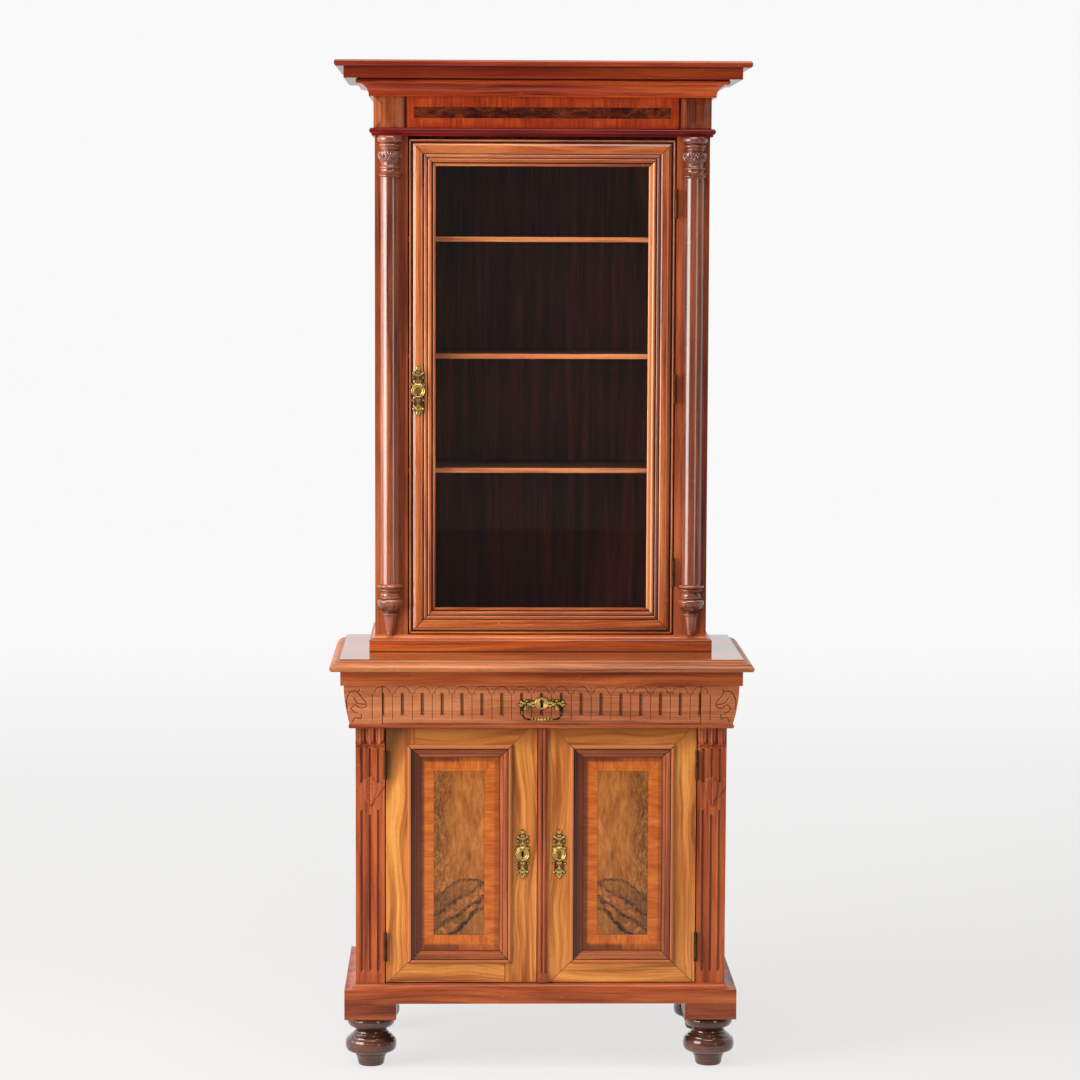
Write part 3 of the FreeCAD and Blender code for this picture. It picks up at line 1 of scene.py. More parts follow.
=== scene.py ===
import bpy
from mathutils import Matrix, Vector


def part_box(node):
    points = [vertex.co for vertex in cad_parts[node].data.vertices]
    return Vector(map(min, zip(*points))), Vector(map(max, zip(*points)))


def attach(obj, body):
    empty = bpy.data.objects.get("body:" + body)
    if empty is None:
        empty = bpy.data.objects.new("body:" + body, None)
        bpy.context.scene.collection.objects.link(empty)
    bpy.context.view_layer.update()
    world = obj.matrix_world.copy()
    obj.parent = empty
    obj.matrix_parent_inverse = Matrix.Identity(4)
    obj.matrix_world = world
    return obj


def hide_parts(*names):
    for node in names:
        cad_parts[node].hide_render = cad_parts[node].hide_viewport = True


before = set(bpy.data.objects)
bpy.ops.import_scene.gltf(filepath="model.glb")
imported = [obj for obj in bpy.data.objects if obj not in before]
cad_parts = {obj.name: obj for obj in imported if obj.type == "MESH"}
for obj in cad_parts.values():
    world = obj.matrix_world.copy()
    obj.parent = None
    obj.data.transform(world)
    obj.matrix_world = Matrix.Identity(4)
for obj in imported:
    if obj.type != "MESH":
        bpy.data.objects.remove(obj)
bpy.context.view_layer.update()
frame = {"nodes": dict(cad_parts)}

import fnmatch
import math

import bpy
import numpy as np
from mathutils import Matrix

# Looks of the glazed bookcase. Sizes are in millimetres until a mesh is made, then metres.
MM = 0.001
SIDES = {-1: "left", 1: "right"}

# Places on the cabinet, as in the part
LOWER_FRONT = -162.0
LOWER_HALF = 383.0
UPPER_FRONT = -66.0
Z_DRAWER = 721.0
Z_APRON = 803.0

# Camera, fitted to the photograph's frame of 1080 x 1080
CAMERA_PLACE = (-0.1519, -6.602, 1.7223)
CAMERA_YAW = 0.0229
CAMERA_PITCH = 0.0962
CAMERA_ROLL = 0.0039
FOCAL_PIXELS = 3155.7
FRAME_PIXELS = 1080
SENSOR = 36.0

# Brightness of the sky for matt surfaces, and for gloss in front of the object
SKY_DIFFUSE = 0.07
SKY_FRONT = 0.12

# Painted shade in seams, grooves, cuts and cast shadows, and dirt in the joints, as red, green and blue of 0 to
# 255. All colours here are written so.
SHADE_AND_DIRT = (38, 16, 10)


class Signal:
    """A number, colour or vector that a node gives out. Arithmetic on it adds Math nodes."""

    def __init__(self, nodes, socket):
        self.nodes = nodes
        self.socket = socket

    def math(self, operation, other=0.0, swapped=False):
        values = (other, self) if swapped else (self, other)
        return self.nodes.node("Math", {"operation": operation}, dict(enumerate(values)))

    def __add__(self, other):
        return self.math("ADD", other)

    def __sub__(self, other):
        return self.math("SUBTRACT", other)

    def __rsub__(self, other):
        return self.math("SUBTRACT", other, swapped=True)

    def __mul__(self, other):
        return self.math("MULTIPLY", other)

    __radd__ = __add__
    __rmul__ = __mul__

    def __gt__(self, other):
        return self.math("GREATER_THAN", other)

    def __lt__(self, other):
        return self.math("LESS_THAN", other)

    def __abs__(self):
        return self.math("ABSOLUTE")

    def most(self, other):
        return self.math("MAXIMUM", other)

    def step(self, low, high):
        """0 below low, 1 above high and a smooth run between them."""
        return self.nodes.node("MapRange", {"interpolation_type": "SMOOTHSTEP"}, {0: self, 1: low, 2: high})

    def near(self, inner, outer):
        """1 within inner of 0, 0 beyond outer and a smooth run between them."""
        return 1 - abs(self).step(inner, outer)


def linear(colour):
    """Linear colour with alpha from a written one. A signal stays as it is."""
    if isinstance(colour, Signal):
        return colour
    shares = np.array(colour) / 255.0
    return (*np.where(shares <= 0.04045, shares / 12.92, ((shares + 0.055) / 1.055) ** 2.4).tolist(), 1.0)


class Nodes:
    """A node tree, and the nodes that this scene puts into one."""

    def __init__(self, tree):
        self.tree = tree

    def node(self, kind, settings=None, values=None, output=0):
        """Adds a node, sets it up, feeds its sockets with values or links, and gives one output."""
        made = self.tree.nodes.new("ShaderNode" + kind)
        for name, value in (settings or {}).items():
            if name == "stops":
                self.set_stops(made.color_ramp, value)
            else:
                setattr(made, name, value)
        for key, value in (values or {}).items():
            self.feed(made.inputs[key], value)
        return Signal(self, made.outputs[output])

    def feed(self, socket, value):
        if isinstance(value, Signal):
            self.tree.links.new(value.socket, socket)
        else:
            socket.default_value = value

    def set_stops(self, ramp, stops):
        while len(ramp.elements) < len(stops):
            ramp.elements.new(1.0)
        for element, (position, colour) in zip(ramp.elements, stops):
            element.position = position
            element.color = linear(colour)

    def split(self, vector):
        made = self.node("SeparateXYZ", values={0: vector}).socket.node
        return [Signal(self, socket) for socket in made.outputs]

    def ray(self, *kinds):
        """1 for rays of any of the kinds."""
        total = self.node("LightPath", output=f"Is {kinds[0]} Ray")
        return total.most(self.ray(*kinds[1:])) if kinds[1:] else total


class Look(Nodes):
    """A material: a Principled shader, and the nodes that feed it."""

    def __init__(self, name, **constants):
        self.material = bpy.data.materials.new(name)
        self.material.use_nodes = True
        super().__init__(self.material.node_tree)
        self.tree.nodes.clear()
        self.shader = self.tree.nodes.new("ShaderNodeBsdfPrincipled")
        for socket, value in constants.items():
            self.shader.inputs[socket.replace("_", " ")].default_value = value
        self.surface = self.tree.nodes.new("ShaderNodeOutputMaterial").inputs[0]
        self.tree.links.new(self.shader.outputs[0], self.surface)
        self.place = self.node("TexCoord", output="Object")
        self.x, self.y, self.z = self.split(self.place)
        self.lying = self.vector(self.z, self.y, self.x)

    def vector(self, x, y, z):
        return self.node("CombineXYZ", values={0: x, 1: y, 2: z})

    def choose(self, mask, first, second):
        """Vector: first where mask is 0, second where it is 1."""
        return self.node("Mix", {"data_type": "VECTOR"}, {0: mask, 4: first, 5: second}, output=1)

    def ramp(self, factor, *stops):
        return self.node("ValToRGB", {"stops": stops}, {0: factor})

    def mix(self, base, *coats):
        """Colours laid over a base in turn. A coat is how much of it shows, and its colour."""
        for share, colour in coats:
            values = {0: share, 6: linear(base), 7: linear(colour)}
            base = self.node("Mix", {"data_type": "RGBA"}, values, output=2)
        return base

    def noise(self, place, detail=3.0, roughness=0.55, distortion=0.0, scale=1.0):
        """Soft noise at a place, which is a vector or its three parts."""
        if isinstance(place, tuple):
            place = self.vector(*place)
        return self.node("TexNoise", {}, {"Vector": place, "Scale": scale, "Detail": detail,
                                          "Roughness": roughness, "Distortion": distortion})

    def grime(self):
        """Painted shade in cuts, hollows and along edges, and the dark patina of brass, that a carved or cast
        piece carries on its points.
        """
        return self.node("Attribute", {"attribute_name": "grime"}, output="Fac")

    def show_instead(self, share, other):
        """Shows the other shader instead where share is 1."""
        own = Signal(self, self.shader.outputs[0])
        self.feed(self.surface, self.node("MixShader", {}, {0: share, 1: own, 2: other}))

    def done(self, colour, roughness, height=None, distance=0.0001, strength=0.5):
        """Feeds the shader, with a bump where there is a height, and gives the material."""
        self.feed(self.shader.inputs["Base Color"], colour)
        self.feed(self.shader.inputs["Roughness"], roughness)
        if height is not None:
            bump = self.node("Bump", {}, {"Strength": strength, "Distance": distance, "Height": height})
            self.feed(self.shader.inputs["Normal"], bump)
        return self.material


def polish(coat, gloss):
    """Constants of a varnished surface."""
    return {"Coat_Weight": coat, "Coat_Roughness": gloss, "Coat_IOR": 1.5, "Specular_IOR_Level": 0.15}


def framed(look, centre_x, centre_z, half_width, half_height, butted, mitre):
    """Grain of a frame round an opening: upright in its stiles, level in its rails. A point is in a stile where it
    is further past the opening's side than past its end. butted runs the stiles through at two corners of the left
    frame. Also gives the joint lines, how far past the opening a point is, where painted shade falls, most on the
    left stile and half as much on the top rail, and 1 on the right stile."""
    aside = abs(look.x) - centre_x
    upward = look.z - centre_z
    past_side = abs(aside) - half_width
    past_end = abs(upward) - half_height
    lead = past_side - past_end
    if butted:
        through = (look.x < 0.0) * (aside * upward > 0.0)
        lead = lead + through * (past_end - 0.0001)
    on_stile = lead > 0.0
    turned = look.choose(on_stile, look.lying, look.place)
    joint = lead.near(mitre * 0.3, mitre) * (past_end > 0.0)
    outward_x = look.x * aside
    shaded_side = (outward_x < 0.0) * on_stile + (upward > 0.0) * (lead < 0.0) * 0.5
    return turned, joint, past_side.most(past_end), shaded_side, on_stile * (outward_x > 0.0)


def seams(distance, places):
    """1 on each of the given distances, 0 away from them. A place is (distance, half width) in mm."""
    lines = [(distance - place * MM).near(half * MM * 0.45, half * MM * 1.3) for place, half in places]
    total = lines[0]
    for line in lines[1:]:
        total = total.most(line)
    return total


# Painted shadow of the pilaster and drawer tier on the left door's outer top corner: where it begins across, how
# it falls outwards, its heights
CORNER_SHADE_X, CORNER_SHADE_FALL, CORNER_SHADE_LOW, CORNER_SHADE_HIGH = -0.272, 2.6, 0.665, 0.78


def timber(name, dark, middle, light, grain="Z", gloss=0.30, coat=0.4, figure=1.0, frame_at=None, wander=0.02,
           streaks=0.45, shaded_seams=(), hollow=None, lit_and_shaded_right=False, carved=False, butted=False, mitre=0.0012,
           shaded_behind_edge=None, dark_above=None, coat_above=None, seam_and_shadow_lines=(), relief=0.00014, **constants):
    """Polished wood. Colour is a ramp over a sum of noises drawn out along the grain: drift, bands, lines and
    fibres. Drift bends the bands sideways. Darker veins follow them, and short pores lie on top. On a frame round
    an opening, glaze gives painted shade in the grooves of its profile, hollow painted shade in a groove below a
    painted highlight on a bead, and lit_and_shaded_right a painted highlight on the right stile's inner bead and
    painted shade on its flank. seam_and_shadow_lines are dark lines at heights, some at joints and some painted
    shadow under an overhang, carved paints shade into the cuts by the attribute grime, dark_above and coat_above
    change the wood above a height, and shaded_behind_edge paints shade on all behind a front edge."""
    look = Look(name, **{**polish(coat, 0.10), **constants})
    if frame_at:
        run, joint, beyond, shaded_side, on_right = framed(look, *frame_at, butted, mitre)
        across, depth, length = look.split(run)
    else:
        x, y, z = look.x, look.y, look.z
        across, depth, length = {"X": (z, y, x), "Y": (x, z, y), "Z": (x, y, z)}[grain]
    drift = look.noise((across * 6.0, depth * 6.0, length * 2.4), 2.0)
    bent = across + (drift - 0.5) * wander
    bands = look.noise((bent * 48.0, depth * 30.0, length * 2.2), 4.0, 0.60, 0.4)
    lines = look.noise((bent * 330.0, depth * 120.0, length * 5.0), 3.0, 0.6)
    fibre = look.noise((across * 900.0, depth * 900.0, length * 24.0), 2.0, 0.6)
    tone = (bands * figure + lines * 0.42 + fibre * 0.22 + drift * 0.5) * (1 / (figure + 1.14))
    vein = look.noise((bent * 150.0 + 7.0, depth * 60.0, length * 2.6), 3.0, 0.62).step(0.55, 0.68)
    pores = look.noise((across * 1500.0, depth * 1500.0, length * 75.0), 1.0, 0.5).step(0.60, 0.70)
    cloud = look.noise((across * 5.0, depth * 5.0, length * 1.3))
    nick = look.noise(look.place, 2.0, scale=75.0).step(0.735, 0.76)
    coats = [(vein * streaks, dark), (pores * 0.40, dark), (cloud.step(0.50, 0.74) * 0.34, dark),
             (nick * 0.6, light)]
    # Painted shade in the grooves of the frame's profile
    if shaded_seams:
        coats.append((seams(beyond, shaded_seams) * 0.8, SHADE_AND_DIRT))
    # Painted highlight on the outer bead, and painted shade inside it on the left stile and, half as deep, on the
    # top rail: darkest in the groove, reddish on the inner part
    if hollow:
        low, high = hollow
        groove = beyond.step(low, low + 0.0015)
        bead = beyond.step(high, high + 0.0008)
        coats += [(bead * 0.5, (216, 134, 74)), (shaded_side * (1 - groove) * 0.6, (100, 32, 14)),
                  (shaded_side * groove * (1 - bead) * 0.88, SHADE_AND_DIRT)]
    # Painted highlight on the right stile's inner fillet and bead, and painted shade on its flank further out
    if lit_and_shaded_right:
        coats += [(on_right * (1 - beyond.step(0.010, 0.012)) * 0.75, (236, 158, 104)),
                  (on_right * (beyond - 0.0185).near(0.004, 0.0065) * 0.62, (70, 20, 14))]
    # Dark lines at heights: joints, and painted shadow lines under overhangs
    if seam_and_shadow_lines:
        coats.append((seams(look.z, seam_and_shadow_lines) * 0.85, SHADE_AND_DIRT))
    if frame_at:
        coats.append((joint * 0.85, SHADE_AND_DIRT))
    # Painted shade in cuts and hollows, carried on the piece's points
    if carved:
        coats.append((look.grime(), SHADE_AND_DIRT))
    # Darker above a height. On the door frames, where butted, this is a painted shadow under the drawer tier,
    # falling lower towards the left door's outer edge, where a deeper painted shadow of the pilaster lies
    if dark_above:
        height = look.z + (CORNER_SHADE_X - look.x).most(0.0) * CORNER_SHADE_FALL if butted else look.z
        coats.append((height.step(*dark_above) * (0.35 + cloud * 0.5), dark))
        if butted:
            coats.append((height.step(CORNER_SHADE_LOW, CORNER_SHADE_HIGH) * 0.7, SHADE_AND_DIRT))
    if coat_above:
        look.feed(look.shader.inputs["Coat Weight"],
                  coat + look.z.step(coat_above, coat_above + 0.0003) * (1.0 - coat))
    # Painted shade on all that lies behind a front edge
    if shaded_behind_edge is not None:
        coats.append((look.y.step(shaded_behind_edge + 0.0004, shaded_behind_edge + 0.0012) * 0.93, (30, 16, 12)))
    base = look.mix(look.ramp(tone, (0.40, dark), (0.50, middle), (0.60, light)), *coats)
    return look.done(base, gloss + fibre * 0.10 + cloud * 0.10 + pores * 0.18,
                     fibre * 0.4 - pores + bands * 0.6 - nick * 1.5, relief, 0.6)


# Sheet of burl in a lower door: its middle across and up, its half width and half height
PANEL_BURL = (169.5, 448.5, 52.0, 171.5)


def inlaid_panel(name):
    """Lower door panel: walnut burl in a border whose short fibres cross it and turn at the mitres. Both doors'
    burl is one pattern and its mirror image. Above, it is mottled along the height, darker on its outer side.
    Below an arched seam come three slanting ones, bent and broken by noise, with warm patches between them. The
    border's outer rim lies in a painted shadow of its moulding all round, deepest on its left side."""
    look = Look(name, **polish(0.4, 0.12))
    middle_x, middle_z, half_width, half_height = (size * MM for size in PANEL_BURL)
    across = abs(look.x) - middle_x
    up = look.z - middle_z
    past_side = abs(across) - half_width
    past_end = abs(up) - half_height
    outside = past_side.most(past_end)
    a, b, c = look.split(look.choose(past_side > past_end, look.place, look.lying))
    ripple = look.noise((a * 330.0, b * 40.0, c * 34.0), 3.0, 0.6, 0.4)
    flame = look.noise((a * 70.0, b * 40.0, c * 22.0), 2.0)
    border = look.ramp(ripple * 0.5 + flame * 0.5, (0.34, (164, 74, 22)), (0.5, (190, 96, 32)),
                       (0.66, (210, 118, 46)))
    place = look.vector(across, look.y, up)
    warp = look.noise(place, 3.0, 0.6, scale=26.0)
    ruffle = look.noise(place, 3.0, 0.65, scale=110.0)
    patch = look.noise(place, 3.0, 0.6, 0.8, scale=55.0)
    mottle = look.noise((across * 150.0 + warp * 3.0, look.y, up * 26.0), 4.0, 0.62, 0.5)
    cloud = look.noise((across * 26.0, look.y, up * 11.0 + 3.0), 3.0, 0.6, 0.6)
    dash = look.noise((across * 700.0, look.y, up * 95.0), 2.0)
    fall = look.noise(((across + up * 0.2 + warp * 0.03) * 190.0, look.y, up * 52.0), 5.0, 0.68, 1.2)
    shake = (warp - 0.5) * 0.034 + (ruffle - 0.5) * 0.016
    peak = across + 0.025
    crest = up + 0.055 + peak * peak * 7.3 + shake * 0.7
    second, third, fourth = (up + low + across * slope + shake * bend for low, slope, bend in
                             ((0.0955, 0.63, 1.0), (0.1265, 0.68, 1.0), (0.156, 0.90, 1.2)))
    swirl = 1 - crest.step(-0.004, 0.002)
    coats = [(across.step(-0.004, 0.040) * fall.step(0.40, 0.58) * 0.72, (64, 42, 20)),
             (dash.step(0.56, 0.68) * 0.35, (84, 50, 22)),
             (swirl * 0.34, (84, 60, 36)),
             (swirl * patch.step(0.44, 0.60) * (third + 0.004).near(0.010, 0.034) * 0.8, (204, 112, 52)),
             (swirl * ruffle.step(0.50, 0.62) * fourth.step(-0.004, 0.004) * 0.5, (74, 48, 28))]
    broken = (0.35 + patch.step(0.38, 0.56) * 0.65) * crest.step(0.003, -0.001)
    for line, thin, wide, depth in ((crest, 0.0006, 0.0070, 0.85), (second, 0.0006, 0.0060, 0.75),
                                    (third, 0.0018, 0.0085, 0.97), (fourth, 0.0020, 0.0080, 0.97)):
        coats.append((line.near(thin, wide) * broken * depth, (34, 26, 22)))
    knot = look.vector((across + 0.026) * 1.4, look.y, up + 0.082)
    knot_size = look.node("VectorMath", {"operation": "LENGTH"}, {0: knot}, output=1)
    coats.append(((1 - (knot_size + shake * 0.5).step(0.006, 0.017)) * 0.7, (48, 34, 24)))
    burl = look.mix(look.ramp(mottle * 0.5 + cloud * 0.5, (0.36, (116, 66, 26)), (0.5, (166, 98, 42)),
                              (0.64, (192, 122, 58))), *coats)
    shaded = (look.x * across < 0.0) * outside.step(0.0165, 0.0235)
    # Painted shadow of the moulding round the border's outer rim, deeper on its left side; the thin dark lines are
    # the inlay's edge and the border's mitres
    base = look.mix(burl, (outside > 0.0, border),
                    (outside.near(0.0002, 0.0009) * 0.5, (60, 28, 16)),
                    ((past_side - past_end).near(0.0001, 0.0007) * (outside > 0.0) * 0.35, SHADE_AND_DIRT),
                    (outside.step(0.0185, 0.0235) * 0.35, SHADE_AND_DIRT), (shaded * 0.55, (74, 20, 14)))
    return look.done(base, 0.30 + mottle * 0.12, ripple * 0.5 + dash * 0.5)


def frieze_burl(name):
    """Dark burl strip in the frieze: bent noise drawn out along the strip, with almost black seams, and
    lighter towards the ends."""
    look = Look(name, **polish(0.3, 0.15))
    warp = look.node("TexNoise", {}, {"Vector": look.place, "Scale": 16.0, "Detail": 3.0}, output=1)
    bent = look.node("VectorMath", {"operation": "MULTIPLY_ADD"},
                     {0: warp, 1: (0.10, 0.10, 0.05), 2: look.place})
    x, y, z = look.split(bent)
    curl = look.noise((x * 0.7, y, z * 2.6), 5.0, 0.62, 0.6, 34.0)
    seam = look.noise((x, y, z * 3.0), 3.0, 0.6, 1.0, 20.0)
    ends = abs(look.x).step(0.12, 0.24)
    base = look.ramp(curl + ends * 0.06, (0.36, (46, 14, 8)), (0.50, (84, 28, 14)), (0.64, (112, 48, 20)))
    base = look.mix(base, ((seam - 0.5).near(0.004, 0.05) * 0.7, (26, 12, 8)))
    return look.done(base, 0.28 + curl * 0.12, curl)


def crossband(name):
    """Red border veneer of the frieze: short fibres upright across the band, warmer towards the ends."""
    look = Look(name, **polish(0.35, 0.12))
    x, y, z = look.x, look.y, look.z
    ripple = look.noise((x * 240.0, y * 40.0, z * 14.0), 3.0, 0.6, 0.3)
    cloud = look.noise((x * 16.0, y, z * 30.0), 2.0)
    ends = abs(x).step(0.14, 0.27)
    base = look.ramp(ripple * 0.6 + cloud * 0.4 + ends * 0.05, (0.32, (122, 34, 15)), (0.5, (152, 52, 20)),
                     (0.68, (184, 78, 28)))
    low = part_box("frieze_rail")[0].z
    base = look.mix(base, ((1 - z.step(low + 0.012, low + 0.034)) * 0.35, (118, 26, 18)))
    return look.done(base, 0.28 + cloud * 0.1, ripple)


def cast_brass(name):
    """Old cast brass: worn bright on the heights, nearly black in the hollows, pitted."""
    look = Look(name, Metallic=1.0)
    cloud = look.noise(look.place, scale=160.0)
    grain = look.noise(look.place, 2.0, scale=1400.0)
    dull = (look.grime() + (cloud - 0.5) * 0.5).step(0.05, 0.58)
    base = look.mix((214, 178, 104), (dull, (38, 25, 12)))
    return look.done(base, 0.22 + dull * 0.34 + grain * 0.12, grain * 0.5 + cloud * 0.8, 0.00015, 0.6)


def plain_metal(name, bright, dull, gloss):
    """Hinge brass or lock iron: brushed along its length, with dull patches."""
    look = Look(name, Metallic=1.0)
    brushed = look.noise((look.x * 900.0, look.y * 900.0, look.z * 40.0), 2.0)
    patch = look.noise(look.place, scale=60.0).step(0.45, 0.7)
    base = look.mix(bright, (patch * 0.7 + brushed * 0.2, dull))
    return look.done(base, gloss + brushed * 0.15 + patch * 0.12, brushed, 0.00008)


def pane_glass(name):
    """Clear window glass with a faint film. Light passes straight through it to what stands behind."""
    look = Look(name, Transmission_Weight=1.0, IOR=1.45)
    film = look.ramp(look.noise(look.place, scale=6.0), (0.3, (236, 238, 236)), (0.7, (250, 250, 250)))
    clear = look.node("BsdfTransparent", {}, {"Color": linear((246, 248, 246))})
    look.show_instead(look.ray("Shadow", "Diffuse"), clear)
    return look.done(film, 0.0)


def floor_paint(name):
    """Pale floor and backdrop in one, faintly mottled. Seen directly or in gloss it is partly plain white
    and partly lit, which keeps the shadow on it."""
    look = Look(name)
    cloud = look.noise(look.place, scale=1.5)
    far = look.y.step(-0.4, 7.0)
    glow = look.node("Emission", {}, {"Color": look.mix((245, 244, 243), (far, (254, 254, 254))),
                                        "Strength": 1.0})
    ahead = look.y.step(-3.6, -0.4).most(look.ray("Camera"))
    seen = look.ray("Camera", "Glossy", "Transmission")
    look.show_instead(seen * ahead * (0.80 + far * 0.15), glow)
    return look.done(look.ramp(cloud, (0.3, (200, 201, 204)), (0.7, (205, 206, 209))), 0.75 + cloud * 0.1)


def opening(node_name, margin):
    """Middle and half sizes of the opening inside a frame that is margin wide, in metres."""
    low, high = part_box(node_name)
    return (abs(low.x + high.x) / 2, (low.z + high.z) / 2, (high.x - low.x) / 2 - margin * MM,
            (high.z - low.z) / 2 - margin * MM)


def dress(material, *patterns):
    """Gives the nodes of the part whose names fit a pattern their look."""
    for node_name in (name for pattern in patterns for name in fnmatch.filter(frame["nodes"], pattern)):
        mesh = frame["nodes"][node_name].data
        mesh.materials.clear()
        mesh.materials.append(material)
    return material


FRAME_OPENING = (168.0 * MM, 447.0 * MM, 94.0 * MM, 215.0 * MM)
MOULDING_INSIDE = opening("right_door_moulding", 26.5)
GLASS_OPENING = opening("glass_door_frame", 54.0)
MOULDING_SEAMS = ((0.4, 1.2), (7.9, 1.0), (18.3, 1.2), (26.4, 0.8))
GLASS_SEAMS = ((6.6, 1.5), (16.2, 1.1), (24.5, 1.1), (48.0, 2.4))

# Carved pieces: darkened by the painted shade on their points
carved_walnut = timber("carved_walnut", (104, 42, 19), (168, 78, 39), (200, 110, 61), "Z", 0.36, 0.25, carved=True)
carved_level = timber("carved_walnut_level", (123, 58, 31), (181, 102, 62), (204, 130, 83), "X", 0.38, 0.2, 0.5,
                      streaks=0.2, carved=True)
column_polish = dress(timber("column_polish", (67, 28, 19), (127, 62, 40), (166, 94, 62), "Z", 0.16, 1.0,
                             carved=True, relief=0.00006, Coat_Roughness=0.17, Coat_IOR=1.65), "column_*")
brass = dress(cast_brass("aged_brass"), "*_escutcheon", "drawer_pull_plate", "drawer_bail")
# Cornice: a dark line between top board and fascia, and a painted shadow line under the fascia
dress(timber("red_mahogany", (92, 20, 6), (172, 62, 22), (208, 94, 38), "X", 0.26, 0.4,
             dark_above=(2.0375, 2.0385), seam_and_shadow_lines=((2038.8, 1.7), (2063.0, 0.9))), "cornice_*")
dress(timber("necking_wood", (74, 9, 6), (112, 17, 11), (156, 34, 25), "X", 0.22, 0.4), "necking_moulding")
dress(timber("frieze_block_wood", (74, 28, 13), (136, 60, 29), (176, 94, 48), "Z", 0.28, 0.5), "frieze_blocks")
dress(timber("foot_block_wood", (76, 30, 14), (134, 60, 32), (160, 84, 46), "X", 0.34, 0.3), "foot_blocks")
dress(timber("red_mahogany_upright", (94, 38, 22), (145, 67, 37), (180, 96, 54), "Z", 0.26, 0.5),
      "front_stile_*", "upper_side_*")
dress(timber("walnut_upright", (98, 42, 22), (158, 76, 42), (186, 104, 62), "Z", 0.34, 0.3),
      "lower_side_*", "pilaster_*", "astragal")
dress(timber("walnut_level", (105, 42, 16), (164, 76, 35), (194, 106, 54), "X", 0.34, 0.3, wander=0.05),
      "plinth_frame", "bead_rail", "drawer_tier_*", "apron_frame", "drawer_front")
dress(timber("upper_base_wood", (126, 56, 24), (184, 86, 37), (213, 121, 54), "X", 0.3, 0.4,
             seam_and_shadow_lines=((858.8, 1.5), (884.0, 0.6))), "upper_base_moulding")
dress(timber("top_walnut", (118, 58, 28), (178, 100, 53), (208, 132, 76), "X", 0.32, 0.12,
             dark_above=(0.8500, 0.8514), coat_above=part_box("table_top")[1].z - 0.0006, Coat_Roughness=0.09,
             Coat_IOR=2.0), "table_top")
# Door frames: painted shadow of the drawer tier on the top rails, and of the pilaster on the left door's outer top
# corner
dress(timber("honey_frame", (145, 74, 26), (206, 127, 56), (232, 160, 78), "Z", 0.32, 0.35, 1.4, FRAME_OPENING,
             0.09, 0.6, butted=True, dark_above=(0.648, 0.70)), "left_door_frame", "right_door_frame")
# Door mouldings: painted shade in the grooves, deepest on the left and top members, and a painted highlight on the
# outer bead
dress(timber("moulding_polish", (99, 37, 14), (160, 77, 33), (190, 103, 51), "Z", 0.28, 0.5, 0.8, MOULDING_INSIDE,
             shaded_seams=MOULDING_SEAMS, hollow=(0.0098, 0.0188), mitre=0.0022), "*_door_moulding")
# Glazed door: painted shade in its profile's grooves, and a painted highlight and shade on the right stile
dress(timber("glass_door_polish", (108, 42, 16), (167, 82, 38), (199, 117, 60), "Z", 0.2, 0.8, 1.0, GLASS_OPENING,
             0.04, shaded_seams=GLASS_SEAMS, lit_and_shaded_right=True, mitre=0.0020), "glass_door_frame")
dress(timber("inner_wood", (42, 14, 10), (76, 31, 21), (109, 48, 32), "Z", 0.45, 0.1),
      "upper_back", "upper_boards", "lower_back", "lower_boards", "glazing_beads", "shelf_cleats")
# Shelves: painted shade on all behind their front edges
dress(timber("shelf_wood", (151, 75, 43), (227, 133, 83), (249, 163, 111), "X", 0.4, 0.1,
             shaded_behind_edge=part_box("bookshelves")[0].y), "bookshelves")
dress(timber("drawer_box_wood", (122, 84, 52), (168, 124, 82), (196, 154, 108), "Y", 0.5, 0.0),
      "drawer_box", "drawer_guides", "lower_shelf")
dress(timber("dark_turned_wood", (44, 20, 14), (82, 44, 30), (112, 66, 46), "X", 0.2, 0.9, Coat_Roughness=0.06,
             Coat_IOR=1.6), "*_feet")
dress(inlaid_panel("burl_panel"), "*_door_panel")
dress(frieze_burl("frieze_burl"), "frieze_inlay")
dress(crossband("frieze_border"), "frieze_rail")
dress(plain_metal("hinge_brass", (92, 58, 34), (46, 28, 18), 0.5), "*_hinge_leaves", "*_hinge_pins")
dress(plain_metal("lock_iron", (120, 116, 110), (66, 54, 46), 0.42), "*_door_lock*")
dress(pane_glass("door_glass"), "glass_pane")


def outward(points, faces):
    """The faces, turned round if they enclose a negative volume, so that they point outwards. The
    volume is the sum of corner triple products over each face's fan."""
    fans = np.array([(face[0], *pair) for face in faces for pair in zip(face[1:], face[2:])])
    a, b, c = (points[fans[:, k]] for k in range(3))
    return [face[::-1] for face in faces] if np.einsum("ij,ij->", a, np.cross(b, c)) < 0 else faces


# Edges that turn by more than this angle stay sharp
SHARP_ANGLE = 0.7


def add_mesh(name, points, faces, material):
    """Puts a smoothly shaded mesh into the scene, from points in metres."""
    mesh = bpy.data.meshes.new(name)
    mesh.from_pydata(points.tolist(), [], faces)
    mesh.polygons.foreach_set("use_smooth", np.full(len(mesh.polygons), True))
    mesh.materials.append(material)
    made = bpy.data.objects.new(name, mesh)
    bpy.context.scene.collection.objects.link(made)
    return made


def piece(name, skin, material, body, stands_for, grime):
    """Closed piece from its points in millimetres and its faces, with painted shade, and on brass patina, on each
    point. It rides on its body and stands for nodes of the part."""
    points, faces = skin
    made = add_mesh(name, points * MM, outward(points, faces), material)
    made.data.set_sharp_from_angle(angle=SHARP_ANGLE)
    dirt = made.data.attributes.new("grime", "FLOAT", "POINT")
    dirt.data.foreach_set("value", np.ravel(grime).astype(np.float32))
    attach(made, body)
    if stands_for:
        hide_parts(*stands_for)


